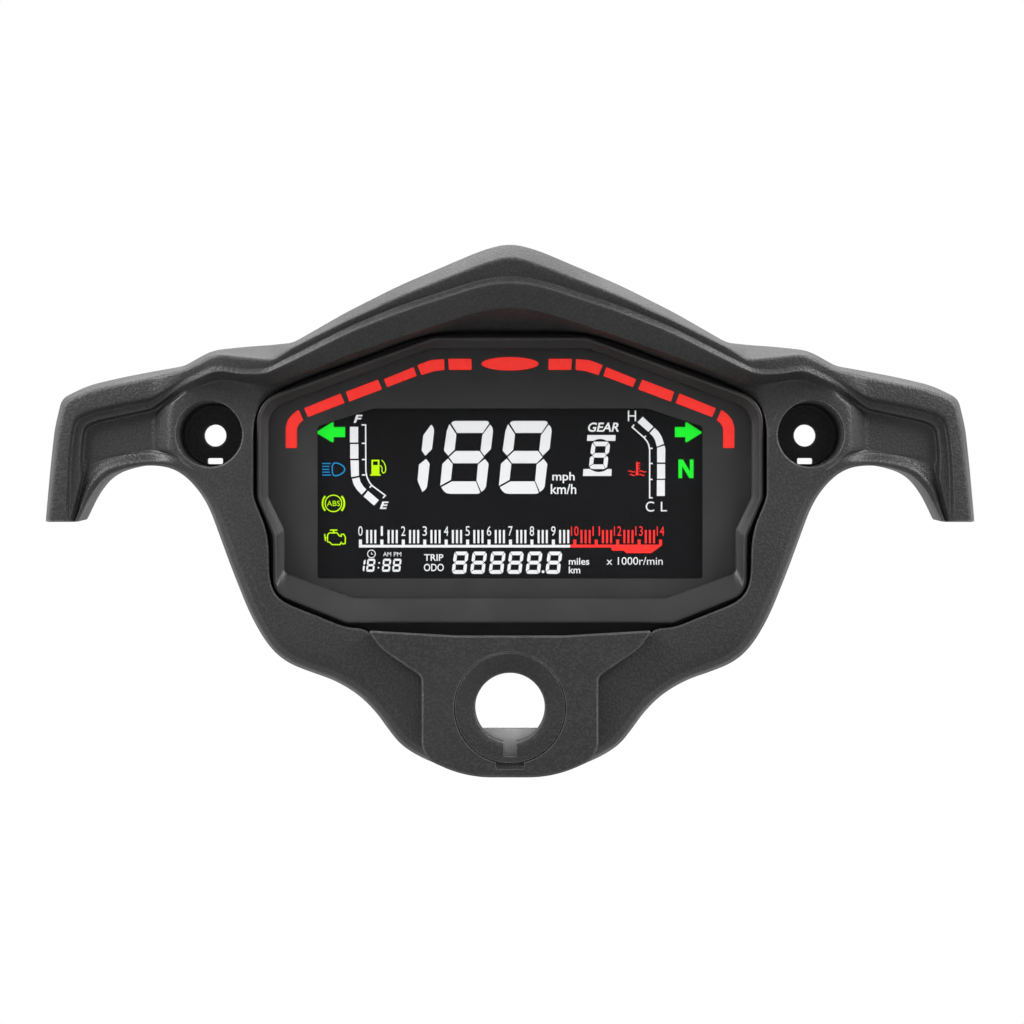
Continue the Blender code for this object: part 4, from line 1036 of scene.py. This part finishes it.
def ink_line(colour, points, width):
    """Prints an open line through points, with square ends."""
    path = [Vector(point) for point in points]
    left, right = [], []
    for i, here in enumerate(path):
        into = (here - path[i - 1]).normalized() if i else (path[1] - here).normalized()
        out = (path[i + 1] - here).normalized() if i < len(path) - 1 else into
        normal = (Vector((-into.y, into.x)) + Vector((-out.y, out.x))).normalized()
        reach = width / 2 / max(0.5, normal.dot(Vector((-into.y, into.x))))
        left.append(tuple(here + normal * reach))
        right.append(tuple(here - normal * reach))
    ink(colour, left + right[::-1])


def ink_outline(colour, loop, width):
    """Prints a closed line along a loop."""
    ink(colour, offset(loop, width / 2), offset(loop, -width / 2))


def arc(x, z, radius, start, end, steps=12):
    """Points along an arc, its angles in degrees."""
    angles = [math.radians(start + (end - start) * i / steps) for i in range(steps + 1)]
    return [(x + radius * math.cos(angle), z + radius * math.sin(angle)) for angle in angles]


def ink_text(colour, text, left, right, bottom, top, lean=0.0, weight=0.0):
    """Prints lettering that fills a box; lean slants it, and weight thickens its strokes."""
    curve = bpy.data.curves.new("lettering", "FONT")
    curve.body = text
    curve.offset = weight
    curve.resolution_u = 5
    holder = bpy.data.objects.new("lettering", curve)
    bpy.context.scene.collection.objects.link(holder)
    mesh = bpy.data.meshes.new_from_object(holder.evaluated_get(bpy.context.evaluated_depsgraph_get()))
    bpy.data.objects.remove(holder)
    flat = [(v.co.x + lean * v.co.y, v.co.y) for v in mesh.vertices]
    low = [min(point[axis] for point in flat) for axis in (0, 1)]
    high = [max(point[axis] for point in flat) for axis in (0, 1)]
    wide, tall = (right - left) / (high[0] - low[0]), (top - bottom) / (high[1] - low[1])
    points = [(left + (x - low[0]) * wide, bottom + (z - low[1]) * tall) for x, z in flat]
    ink_faces(colour, points, [tuple(face.vertices) for face in mesh.polygons])
    bpy.data.meshes.remove(mesh)
    bpy.data.curves.remove(curve)


# A digit's seven segments, as shares of its width and height.
SEGMENTS = {
    "top": ((0.086, 0.966), (0.11, 0.99), (0.158, 1.0), (0.83, 1.0), (0.875, 0.99), (0.895, 0.966),
            (0.784, 0.835), (0.236, 0.835)),
    "upper_left": ((0.05, 0.956), (0.011, 0.865), (0.0, 0.594), (0.106, 0.523), (0.226, 0.604),
                   (0.224, 0.815)),
    "upper_right": ((0.92, 0.95), (0.975, 0.91), (0.998, 0.865), (1.0, 0.614), (0.874, 0.523), (0.782, 0.594),
                    (0.78, 0.805)),
    "middle": ((0.125, 0.503), (0.25, 0.588), (0.759, 0.588), (0.868, 0.503), (0.759, 0.419), (0.235, 0.419)),
    "lower_left": ((0.107, 0.483), (0.221, 0.408), (0.224, 0.191), (0.011, 0.111), (0.0, 0.412)),
    "lower_right": ((0.898, 0.479), (0.989, 0.412), (0.991, 0.101), (0.965, 0.06), (0.904, 0.026),
                    (0.772, 0.181), (0.762, 0.402)),
    "bottom": ((0.25, 0.171), (0.761, 0.171), (0.88, 0.02), (0.86, 0.005), (0.815, 0.0), (0.25, 0.0),
               (0.16, 0.01), (0.09, 0.045), (0.036, 0.091)),
}
RIGHT_SEGMENTS = ("upper_right", "lower_right")
DIGIT_LEAN = 0.12


def digit(left, bottom, width, height, names=tuple(SEGMENTS)):
    for name in names:
        ink("white", [(left + width * u + DIGIT_LEAN * height * v, bottom + height * v)
                      for u, v in SEGMENTS[name]])


def speed_and_gear():
    digit(-48.95, 6.1, 17.6, 27.4, RIGHT_SEGMENTS)
    for left in (-26.8, -4.75):
        digit(left, 6.1, 17.6, 27.4)
    ink_text("white", "mph", 15.9, 24.3, 10.1, 14.3, weight=0.012)
    ink_text("white", "km/h", 15.3, 24.9, 6.0, 9.8, weight=0.012)
    ink_text("white", "GEAR", 29.3, 40.9, 29.4, 32.9, lean=0.22, weight=0.02)
    digit(29.5, 15.4, 7.0, 10.3)
    upper_notch = arc(33.9, 22.0, 4.7, 59, 121)
    lower_notch = arc(33.4, 19.7, 5.4, 232, 308)
    ink("white", [(28.9, 26.0), (29.1, 28.2), (39.7, 28.2), (39.6, 26.0)] + upper_notch)
    ink("white", [(38.1, 12.8), (27.4, 12.8), (27.6, 15.4)] + lower_notch + [(38.2, 15.4)])


def fuel_gauge():
    ink_text("white", "F", -58.8, -55.4, 32.8, 35.8, lean=0.25, weight=0.03)
    ink_text("white", "E", -49.0, -45.6, 0.4, 3.2, lean=0.25, weight=0.03)
    ink_block("white", -60.2, -57.1, 25.4, 31.3)
    ink_block("white", -60.1, -57.0, 19.3, 24.8)
    ink("white", [(-60.0, 18.7), (-56.9, 18.7), (-56.8, 12.9), (-59.7, 12.4)])
    ink("white", [(-59.4, 11.7), (-58.8, 9.6), (-57.6, 7.7), (-55.8, 5.8),
                  (-54.0, 7.7), (-55.3, 9.1), (-56.2, 10.6), (-56.7, 12.3)])
    ink("white", [(-55.1, 5.1), (-53.4, 7.2), (-49.3, 3.7), (-51.1, 1.7)])
    scale = [(-55.8, 32.0), (-54.3, 32.0), (-54.2, 14.3), (-53.7, 12.1), (-52.9, 10.5), (-51.9, 9.2),
             (-46.9, 5.5), (-47.8, 4.5)]
    ink_line("white", scale, 0.5)
    for z in (25.1, 19.0, 13.2):
        ink_line("white", [(-55.7, z), (-54.3, z)], 0.5)
    ink_line("white", [(-52.8, 8.4), (-52.1, 9.2)], 0.5)


def temperature_gauge():
    ink_text("white", "H", 44.3, 47.4, 33.4, 37.4)
    ink_text("white", "C", 51.0, 54.2, -0.6, 3.2)
    ink_text("white", "L", 56.7, 59.0, -0.5, 3.1)
    ink("white", [(49.9, 35.1), (53.9, 31.3), (52.0, 29.4), (47.9, 33.0)])
    ink("white", [(54.3, 30.9), (55.8, 29.5), (57.0, 27.6), (57.9, 24.9),
                  (55.2, 23.8), (54.6, 26.1), (53.8, 27.6), (52.5, 28.9)])
    ink("white", [(58.1, 24.3), (58.4, 23.0), (58.3, 17.9), (55.3, 17.9), (55.3, 23.4)])
    ink_block("white", 55.3, 58.3, 11.8, 17.3)
    ink_block("white", 55.2, 58.2, 5.3, 11.3)
    scale = [(46.7, 32.1), (45.9, 31.2), (50.3, 27.3), (51.6, 25.7), (52.2, 24.4), (52.5, 22.6),
             (52.5, 4.6), (53.6, 4.6)]
    ink_line("white", scale, 0.5)
    for z in (23.2, 17.5, 11.5):
        ink_line("white", [(52.5, z), (53.6, z)], 0.5)
    ink_line("white", [(50.4, 27.2), (51.1, 27.9)], 0.5)


TICK_PITCH = 8.06
FIRST_TICK = -56.25
RED_FROM = 10              # the number on the rev scale where it turns red
LAST_TICK = 14


def rev_scale():
    ink_block("white", FIRST_TICK - 0.57, 22.6, -14.1, -13.1)
    ink("red", [(22.7, -13.0), (57.2, -13.0), (57.2, -13.2), (53.1, -16.2), (43.7, -16.2), (42.8, -15.3),
                (38.4, -15.3), (37.9, -14.1), (22.7, -14.1)])
    for number in range(LAST_TICK + 1):
        x = FIRST_TICK + TICK_PITCH * number
        colour = "red" if number >= RED_FROM else "white"
        ink_block(colour, x - 0.57, x + 0.57, -13.05, -11.1)
        half = 1.4 if number > 9 else 0.4 if number == 1 else 0.82
        ink_text(colour, str(number), x - half, x + half, -9.7, -6.1)
        if number < LAST_TICK:
            for across in (2.52, 4.06, 5.6):
                ink_block(colour, x + across - 0.38, x + across + 0.38, -12.5, -7.5)
    ink_text("white", "x 1000r/min", 36.3, 57.4, -20.6, -17.7)


def clock_and_trip():
    ink("white", circle(-52.1, -16.5, 1.6, 32), circle(-52.1, -16.5, 1.3, 32))
    ink_line("white", [(-52.1, -15.9), (-52.1, -16.6), (-51.5, -16.6)], 0.22)
    ink_text("white", "AM", -47.7, -44.7, -17.4, -15.8)
    ink_text("white", "PM", -43.7, -40.9, -17.4, -15.8)
    digit(-57.9, -23.2, 3.1, 4.9, RIGHT_SEGMENTS)
    for left in (-54.2, -48.3, -44.4):
        digit(left, -23.2, 3.1, 4.9)
    ink("white", circle(-49.2, -19.9, 0.33, 12))
    ink("white", circle(-49.5, -21.7, 0.33, 12))
    ink_text("white", "TRIP", -32.3, -25.1, -19.1, -16.6, weight=0.012)
    ink_text("white", "ODO", -32.4, -24.9, -23.0, -20.2, weight=0.012)
    for left in (-22.0, -15.1, -8.1, -1.25, 5.75, 13.2):
        digit(left, -24.0, 5.5, 8.4)
    ink("white", circle(12.4, -23.2, 0.55, 16))
    ink_text("white", "miles", 22.1, 29.8, -20.6, -18.0, weight=0.012)
    ink_text("white", "km", 22.1, 26.4, -23.8, -21.2, weight=0.012)


def turn_arrows():
    for side, tip in ((-1, 72.7), (1, 72.0)):
        head, tail = 65.9 + 0.4 * (side < 0), 62.0
        arrow = [(tip, 29.4), (head + 0.6, 33.0), (head, 32.9), (head, 31.2), (tail, 31.2),
                 (tail, 27.4), (head, 27.4), (head, 25.6), (head + 0.6, 25.5), (tip, 28.9)]
        ink("green", [(side * x, z) for x, z in arrow])


def neutral_light():
    ink("green", [(63.3, 12.0), (63.3, 19.0), (65.0, 19.0), (67.6, 14.6), (67.6, 19.0), (69.0, 19.0),
                  (69.0, 12.0), (67.4, 12.0), (64.7, 16.5), (64.7, 12.0)])


def high_beam_light():
    for z, right in ((17.5, -67.4), (16.4, -67.9), (15.3, -68.0), (14.25, -67.8), (13.15, -67.4)):
        ink_line("blue", [(-70.6, z), (right, z)], 0.38)
    lamp = [(-66.3, 17.6), (-65.2, 17.7), (-63.7, 17.2), (-62.5, 16.3), (-62.1, 15.3),
            (-62.5, 14.3), (-63.7, 13.4), (-65.2, 12.9), (-66.3, 13.0), (-66.8, 14.1), (-66.9, 16.4)]
    ink_outline("blue", lamp, 0.42)


def abs_light():
    x, z = -66.4, 2.5
    ink("lime", circle(x, z, 3.3, 48), circle(x, z, 2.9, 48))
    ink_text("lime", "ABS", x - 2.45, x + 2.45, z - 1.0, z + 1.0)
    for start in (-42, 138):
        ink("lime", arc(x, z, 4.45, start, start + 84) + arc(x, z, 3.75, start + 84, start))


def engine_light():
    block = [(-68.6, -9.3), (-67.9, -8.6), (-65.0, -8.6), (-64.2, -9.7), (-63.5, -9.9), (-63.4, -9.1),
             (-62.5, -9.1), (-61.9, -10.2), (-62.0, -12.6), (-62.9, -12.8), (-63.5, -12.1), (-63.9, -13.0),
             (-66.9, -13.0), (-67.8, -12.1), (-68.6, -11.9)]
    ink_outline("lime", block, 0.42)
    ink_block("lime", -67.7, -64.9, -7.8, -7.3)
    ink_block("lime", -66.6, -66.0, -8.6, -7.6)
    ink_line("lime", [(-69.7, -9.0), (-69.4, -11.6)], 0.5)
    ink_line("lime", [(-69.5, -10.4), (-68.6, -10.4)], 0.4)


def fuel_light():
    ink("lime", span(-52.1, -49.1, 13.4, 18.9), span(-51.5, -49.7, 16.9, 18.3))
    ink_block("lime", -52.6, -48.6, 12.9, 13.4)
    hose = [(-49.0, 16.7), (-48.4, 16.5), (-48.1, 15.8), (-48.2, 14.6), (-47.7, 13.9), (-47.0, 14.2),
            (-46.7, 15.3), (-46.9, 16.7), (-47.4, 17.9), (-48.3, 18.8)]
    ink_line("lime", hose, 0.36)


def heat_light():
    ink_block("red", 47.4, 48.15, 13.7, 18.1)
    ink("red", circle(47.78, 13.6, 0.62, 20))
    for z in (15.4, 16.4, 17.4):
        ink_block("red", 48.15, 48.9, z, z + 0.4)
    for z, left in ((14.5, 44.4), (13.2, 45.0)):
        for start, end in ((left, 47.0), (48.6, 95.6 - left)):
            steps = 10
            wave = [(start + (end - start) * i / steps, z + 0.22 * math.sin(math.tau * i / steps))
                    for i in range(steps + 1)]
            ink_line("red", wave, 0.36)


def display_print():
    for draw in (speed_and_gear, fuel_gauge, temperature_gauge, rev_scale, clock_and_trip, turn_arrows,
                 neutral_light, high_beam_light, abs_light, engine_light, fuel_light, heat_light):
        draw()
    for colour, (vertices, faces) in INK.items():
        fitted(piece(f"display_print_{colour}", vertices, faces, LIT[colour]), "display_glass")


# ---------------------------------------------------------------- the back of the meter
LOCK_PLATE_THICKNESS = 2.0
LOCK_CHORD_Z = -82.5
EAR_INNER_ENDS = ((86.6, -9.0), (55.9, 52.2))
EAR_FACE = -20.6
EAR_THICKNESS = 3.0
EAR_RADIUS = 5.0
EAR_HOLE_RADIUS = 2.9
CASE_SCREWS = ((79.9, 20.0), (79.9, -18.0))
BUTTONS = (("mode", -34.0), ("set", 34.0))
BUTTON_Z = -22.0
BUTTON_RADIUS = 4.2
BUTTON_END = -37.5
BUTTON_INNER = -29.9
CONNECTOR_Z = 14.0
CONNECTOR_SIZE = (34.0, 10.0)
CONNECTOR_END = -42.6
CONNECTOR_FLOOR = -30.0
BOARD_REAR = -24.2
VENT_X = 62.0
VENT_RADIUS = 3.0
VENT_FLUTES = 12
RIB_HEIGHT = 1.1
RIB_WIDTH = 1.4
LONG_RIBS = ((46.0, 80.0), (40.0, 100.0), (34.0, 100.0), (-31.5, 100.0))
SHORT_RIBS = (30.0, 37.0, 44.0)
EAR_CENTRES = tuple(centre for centre, _ in EARS)
THREAD_PITCH = 0.7


def in_pairs(places):
    """Every (x, z) place on the left and then on the right."""
    return [(side * x, z) for x, z in places for side in (-1, 1)]


def screw(node, x, z, head_face, tip, head_radius=3.2, head_height=2.0):
    """A pan-head screw with a threaded shank and a cross recess, driven from behind."""
    profile = [(SCREW_RADIUS * 0.4, tip)]
    height = tip - 1.0
    while height > head_face + 1.6:
        profile += [(SCREW_RADIUS * 0.8, height), (SCREW_RADIUS, height - 0.3)]
        height -= THREAD_PITCH
    profile += [(SCREW_RADIUS, head_face), (head_radius - 0.15, head_face), (head_radius, head_face - 0.15)]
    rim = head_height * 0.45
    for step in range(9):
        angle = math.pi / 2 * step / 8
        profile.append((max(0.6, head_radius * math.cos(angle)),
                        head_face - rim - (head_height - rim) * math.sin(angle)))
    made = turned(node + "_skin", x, z, profile, FINISHES["zinc_plated_steel"], 48)
    top = head_face - head_height
    bars = [stacked("bar", ((rectangle(x, z, long * 0.6, wide * 0.6), top + 1.0),
                            (rectangle(x, z, long, wide), top - 0.5)), None)
            for long, wide in ((head_radius * 1.05, 0.75), (0.75, head_radius * 1.05))]
    combined(made, bars, "DIFFERENCE")
    fitted(made, "zinc_plated_steel", node)


def all_screws():
    plate_back = LOCK_PLATE_FACE - LOCK_PLATE_THICKNESS
    for side, word in ((-1, "left"), (1, "right")):
        screw(f"lock_plate_screw_{word}", side * LOCK_SCREW_X, LOCK_SCREW_Z, plate_back - GAP, -2.0)
        screw(f"key_panel_screw_{word}", side * PANEL_SCREW_X, PANEL_SCREW_Z, -2.6 - GAP, 2.4)
    for number, (x, z) in enumerate(in_pairs(CASE_SCREWS), 1):
        screw(f"case_screw_{number}", x, z, CASE_BACK - GAP, -15.6)
    ear_back = EAR_FACE - EAR_THICKNESS
    neck = EAR_HOLE_RADIUS - 0.3
    bore = SCREW_RADIUS + 0.3
    for number, (x, z) in enumerate(in_pairs(EAR_CENTRES), 1):
        front, back = BOSS_END - GAP, ear_back - 1.3
        made = collar(f"meter_grommet_{number}_skin", x, z, (
            (4.3, front), (4.5, front - 0.2), (4.5, EAR_FACE + 0.3), (neck, EAR_FACE + 0.3),
            (neck, ear_back - 0.3), (4.5, ear_back - 0.3), (4.5, back + 0.3), (4.2, back), (bore, back),
            (bore, front)),
            FINISHES["black_rubber"], 64)
        fitted(made, "black_rubber", f"meter_grommet_{number}")
        screw(f"meter_screw_{number}", x, z, back - GAP, -9.0, 3.8, 2.4)


def ear(inner, centre, side):
    """A lug with a round end about the screw centre and chamfered edges."""
    along = (Vector(centre) - Vector(inner)).normalized()
    first = math.degrees(math.atan2(along.y, along.x)) - 90
    outline = arc(*centre, EAR_RADIUS, first, first + 180, 24)
    across = Vector((-along.y, along.x)) * EAR_RADIUS
    outline += [tuple(Vector(inner) + across), tuple(Vector(inner) - across)]
    outline = [(side * x, z) for x, z in outline]
    inset = offset(outline, -0.4)
    back = EAR_FACE - EAR_THICKNESS
    return stacked("ear", ((inset, EAR_FACE), (outline, EAR_FACE - 0.4), (outline, back + 0.4),
                           (inset, back)), None)


def raised(outline, width):
    """A raised frame on the case's back, along the inside of an outline."""
    inner = offset(outline, -width)
    foot = CASE_BACK + 0.5
    top = CASE_BACK - RIB_HEIGHT
    rows = ((outline, foot), (outline, top + 0.2), (offset(outline, -0.2), top),
            (offset(outline, -width + 0.2), top), (inner, top + 0.2), (inner, foot))
    return lofted_ring("frame", [levelled(loop, level) for loop, level in rows], None)


def rib(x, z, width, height):
    """A raised bar on the case's back."""
    bar = rounded_rectangle(x, z, width, height, 0.6)
    top = CASE_BACK - RIB_HEIGHT
    return stacked("rib", ((bar, CASE_BACK + 0.5), (bar, top + 0.2), (offset(bar, -0.2), top)), None)


def rear_case():
    """The tray behind the board: rounded rear edge, ribbed back, raised frames, lugs and bores."""
    wall, inside = bezel_outline(2.4), bezel_outline(4.4)
    rows = [(wall, CASE_RIM)]
    for step in range(6):
        angle = math.pi / 2 * step / 5
        rows.append((offset(wall, -1.5 * (1 - math.cos(angle))), CASE_BACK + 1.5 * (1 - math.sin(angle))))
    case = stacked("rear_case_skin", rows, FINISHES["dark_plastic"])
    hollow = stacked("hollow", ((offset(inside, -0.4), CASE_FLOOR), (inside, CASE_FLOOR + 0.4),
                                (inside, CASE_RIM + 5)), None)
    combined(case, [hollow], "DIFFERENCE")
    added = [ear(inner, centre, side)
             for inner, centre in zip(EAR_INNER_ENDS, EAR_CENTRES) for side in (-1, 1)]
    wide, tall = CONNECTOR_SIZE
    added.append(raised(rounded_rectangle(0, CONNECTOR_Z, wide + 7, tall + 7, 2.0), 1.4))
    added.append(raised(circle(VENT_X, CONNECTOR_Z, 8.0), 1.1))
    added += [raised(circle(x, z, 5.4), 1.0) for x, z in in_pairs(CASE_SCREWS)]
    added += [rib(0, z, length, RIB_WIDTH) for z, length in LONG_RIBS]
    added += [rib(side * x, CONNECTOR_Z, RIB_WIDTH, 24.0) for side in (-1, 1) for x in SHORT_RIBS]
    for part in added:
        combined(case, [part], "UNION")
    above, below = CASE_FLOOR + 2, CASE_BACK - 2
    holes = [tube(x, BUTTON_Z, BUTTON_RADIUS + GAP, above, below, 48) for _, x in BUTTONS]
    holes.append(tube(VENT_X, CONNECTOR_Z, VENT_RADIUS + GAP, above, below, 48))
    holes += [tube(x, z, SCREW_RADIUS + GAP, above, below) for x, z in in_pairs(CASE_SCREWS)]
    holes.append(plate("socket", rectangle(0, CONNECTOR_Z, wide + 1, tall + 1), [], above, below, None))
    holes += [tube(x, z, EAR_HOLE_RADIUS, EAR_FACE + 2, EAR_FACE - 8) for x, z in in_pairs(EAR_CENTRES)]
    combined(case, [joined("holes", holes, None)], "DIFFERENCE")
    fitted(case, "dark_plastic", "rear_case")


def connector():
    """The harness header: bevelled rim, keying slots in its top wall and a latch window below."""
    width, height = CONNECTOR_SIZE
    outer = rounded_rectangle(0, CONNECTOR_Z, width, height, 0.8)
    cavity = rounded_rectangle(0, CONNECTOR_Z, width - 3, height - 3, 0.5)
    body = stacked("connector_header_skin", (
        (outer, BOARD_REAR - GAP), (outer, CONNECTOR_END + 0.3), (offset(outer, -0.3), CONNECTOR_END)),
        FINISHES["white_plastic"])
    hollow = stacked("hollow", ((cavity, CONNECTOR_FLOOR), (cavity, CONNECTOR_END + 0.4),
                                (offset(cavity, 0.5), CONNECTOR_END - 0.3)), None)
    slots = [plate("slot", rectangle(x, CONNECTOR_Z + height / 2 - 0.75, 1.6, 2.4), [],
                   -36.5, CONNECTOR_END - 1, None) for x in (-9.0, 9.0)]
    window = plate("window", rectangle(0, CONNECTOR_Z - height / 2, 5.0, 2.0), [], -38.0, -40.4, None)
    combined(body, [hollow, *slots, window], "DIFFERENCE")
    fitted(body, "white_plastic", "connector_header")


def buttons():
    """Round-edged rubber caps with a finger dimple and a foot flange, and the seals they run in."""
    for word, x in BUTTONS:
        end = BUTTON_END
        dimple = [(2.6, end + 0.08), (1.8, end + 0.35), (0.7, end + 0.45)]
        made = turned(f"{word}_button_skin", x, BUTTON_Z, [
            (BUTTON_RADIUS + 1.0, BUTTON_INNER), (BUTTON_RADIUS + 1.2, BUTTON_INNER - 0.2),
            (BUTTON_RADIUS + 1.2, BUTTON_INNER - 0.6), (BUTTON_RADIUS, BUTTON_INNER - 0.7),
            (BUTTON_RADIUS, end + 1.0), (BUTTON_RADIUS - 0.15, end + 0.5), (BUTTON_RADIUS - 0.5, end + 0.15),
            (BUTTON_RADIUS - 1.0, end)] + dimple, FINISHES["black_rubber"], 64)
        fitted(made, "black_rubber", f"{word}_button", on=f"{word}_button")
        back = CASE_BACK - 1.6
        inner = BUTTON_RADIUS + 0.4
        seal = collar(f"{word}_button_seal_skin", x, BUTTON_Z, (
            (7.0, CASE_BACK - GAP), (6.9, CASE_BACK - 0.9), (6.4, back + 0.15), (6.1, back),
            (inner + 0.5, back), (inner, back + 0.3), (inner, CASE_BACK - GAP)), FINISHES["black_rubber"], 64)
        fitted(seal, "black_rubber", f"{word}_button_seal")


def lock_plate():
    """The pressed steel plate: a bevelled front edge, the lock's opening and two screw holes."""
    outline = filleted(mirrored(((32, -57, 3), (32, -80, 4), (14, -95, 4))))
    radius = KEY_RADIUS + 2.2
    dip = math.degrees(math.asin((KEY_Z - LOCK_CHORD_Z) / radius))
    opening = arc(0, KEY_Z, radius, -dip, 180 + dip, 72)
    holes = [circle(side * LOCK_SCREW_X, LOCK_SCREW_Z, SCREW_RADIUS + GAP, 40) for side in (-1, 1)]
    made = plate("lock_plate_skin", outline, [opening] + holes, LOCK_PLATE_FACE,
                 LOCK_PLATE_FACE - LOCK_PLATE_THICKNESS, FINISHES["zinc_plated_steel"], 0.25)
    fitted(made, "zinc_plated_steel", "lock_plate")


def vent_plug():
    """A breather plug with a fluted cap."""
    face = CASE_BACK - GAP
    made = turned("vent_plug_skin", VENT_X, CONNECTOR_Z, (
        (VENT_RADIUS - 0.3, -30.4), (VENT_RADIUS, -30.8), (VENT_RADIUS, face), (4.9, face), (5.0, face - 0.2),
        (4.7, CASE_BACK - 1.7), (4.3, CASE_BACK - 2.0)), FINISHES["dark_plastic"], 96)
    cuts = [tube(x, z, 0.8, face + 0.2, CASE_BACK - 3, 16)
            for x, z in circle(VENT_X, CONNECTOR_Z, 5.5, VENT_FLUTES)]
    slit = rectangle(VENT_X, CONNECTOR_Z, 5.0, 0.7)
    cuts.append(plate("slit", slit, [], CASE_BACK - 1.3, CASE_BACK - 3, None))
    combined(made, [joined("cuts", cuts, None)], "DIFFERENCE")
    fitted(made, "dark_plastic", "vent_plug")


# ---------------------------------------------------------------- studio
def floor():
    """A plain grey disc well below the object."""
    paint = Paint("studio_floor", (0.42, 0.42, 0.42), 0.8, specular=0.2)
    paint.tint(120.0, (0.4, 0.4, 0.4), 0.6).vary_roughness(40.0, 0.6, 0.8)
    disc = bmesh.new()
    bmesh.ops.create_circle(disc, cap_ends=True, segments=128, radius=FLOOR_RADIUS)
    mesh = bpy.data.meshes.new("studio_floor")
    disc.to_mesh(mesh)
    disc.free()
    mesh.materials.append(paint.material)
    made = bpy.data.objects.new("studio_floor", mesh)
    made.location.z = FLOOR_Z
    bpy.context.scene.collection.objects.link(made)


def soft_light(name, location, target, width, height, power):
    lamp = bpy.data.lights.new(name, "AREA")
    lamp.shape = "RECTANGLE"
    lamp.size, lamp.size_y = width, height
    lamp.energy = power
    made = bpy.data.objects.new(name, lamp)
    made.location = location
    aim = Vector(target) - Vector(location)
    made.rotation_euler = aim.to_track_quat("-Z", "Y").to_euler()
    bpy.context.scene.collection.objects.link(made)


def world():
    """White behind the object and above it, greyer towards the viewer's side and below."""
    made = bpy.data.worlds.new("studio")
    made.use_nodes = True
    tree = made.node_tree
    direction = tree.nodes.new("ShaderNodeTexCoord").outputs["Generated"]
    parts = tree.nodes.new("ShaderNodeSeparateXYZ")
    tree.links.new(direction, parts.inputs[0])
    shades = []
    for axis, (dark_at, white_at, darkest) in (("Y", FRONT_SHADE), ("Z", LOW_SHADE)):
        ramp = tree.nodes.new("ShaderNodeMapRange")
        ramp.interpolation_type = "SMOOTHSTEP"
        tree.links.new(parts.outputs[axis], ramp.inputs["Value"])
        for socket, value in (("From Min", dark_at), ("From Max", white_at), ("To Min", darkest),
                              ("To Max", 1.0)):
            ramp.inputs[socket].default_value = value
        shades.append(ramp.outputs["Result"])
    product = tree.nodes.new("ShaderNodeMath")
    product.operation = "MULTIPLY"
    tree.links.new(shades[0], product.inputs[0])
    tree.links.new(shades[1], product.inputs[1])
    tree.links.new(product.outputs[0], tree.nodes["Background"].inputs["Strength"])
    tree.nodes["Background"].inputs["Color"].default_value = (1.0, 1.0, 1.0, 1.0)
    bpy.context.scene.world = made


def studio():
    world()
    bpy.context.scene.view_settings.view_transform = "Standard"
    floor()
    soft_light("overhead", (0.0, 0.05, 1.1), (0, 0, 0), 1.4, 0.6, 14.0)
    soft_light("top_back", (0.0, 0.8, 0.95), (0, 0, 0), 1.6, 0.5, 9.0)
    soft_light("left_fill", (-1.2, -0.1, 0.3), (0, 0, 0), 0.5, 0.9, 5.0)
    soft_light("right_fill", (1.2, -0.1, 0.3), (0, 0, 0), 0.5, 0.9, 5.0)
    for side, word in ((-1, "left"), (1, "right")):
        soft_light(f"{word}_wing_light", (0.38 * side, -0.16, 0.26), (0.165 * side, 0, 0.02), 0.2, 0.2, 2.6)


def camera():
    lens_mm = SENSOR_WIDTH * VIEW_DISTANCE / VIEW_WIDTH
    data = bpy.data.cameras.new("camera")
    data.sensor_width = SENSOR_WIDTH
    data.lens = lens_mm
    made = bpy.data.objects.new("camera", data)
    made.location = place(*VIEW_CENTRE, VIEW_DISTANCE)
    made.rotation_euler = (math.pi / 2, 0.0, 0.0)
    bpy.context.scene.collection.objects.link(made)
    bpy.context.scene.camera = made


FLOOR_Z = -0.45
FLOOR_RADIUS = 1.3
# Where the world's shade starts and ends along an axis of the view direction, and how dark it gets.
FRONT_SHADE = (-0.8, 0.3, 0.64)
LOW_SHADE = (-0.65, -0.15, 0.45)
SENSOR_WIDTH = 36.0
VIEW_WIDTH = 385.0         # how much of the panel's plane the picture is wide, in millimetres
VIEW_CENTRE = (0.75, -0.75)


def main():
    handle_cover()
    key_panel()
    key_escutcheon()
    meter_bezel()
    dial_mask()
    rev_lights()
    display_print()
    all_screws()
    rear_case()
    connector()
    buttons()
    lock_plate()
    vent_plug()
    studio()
    camera()


main()
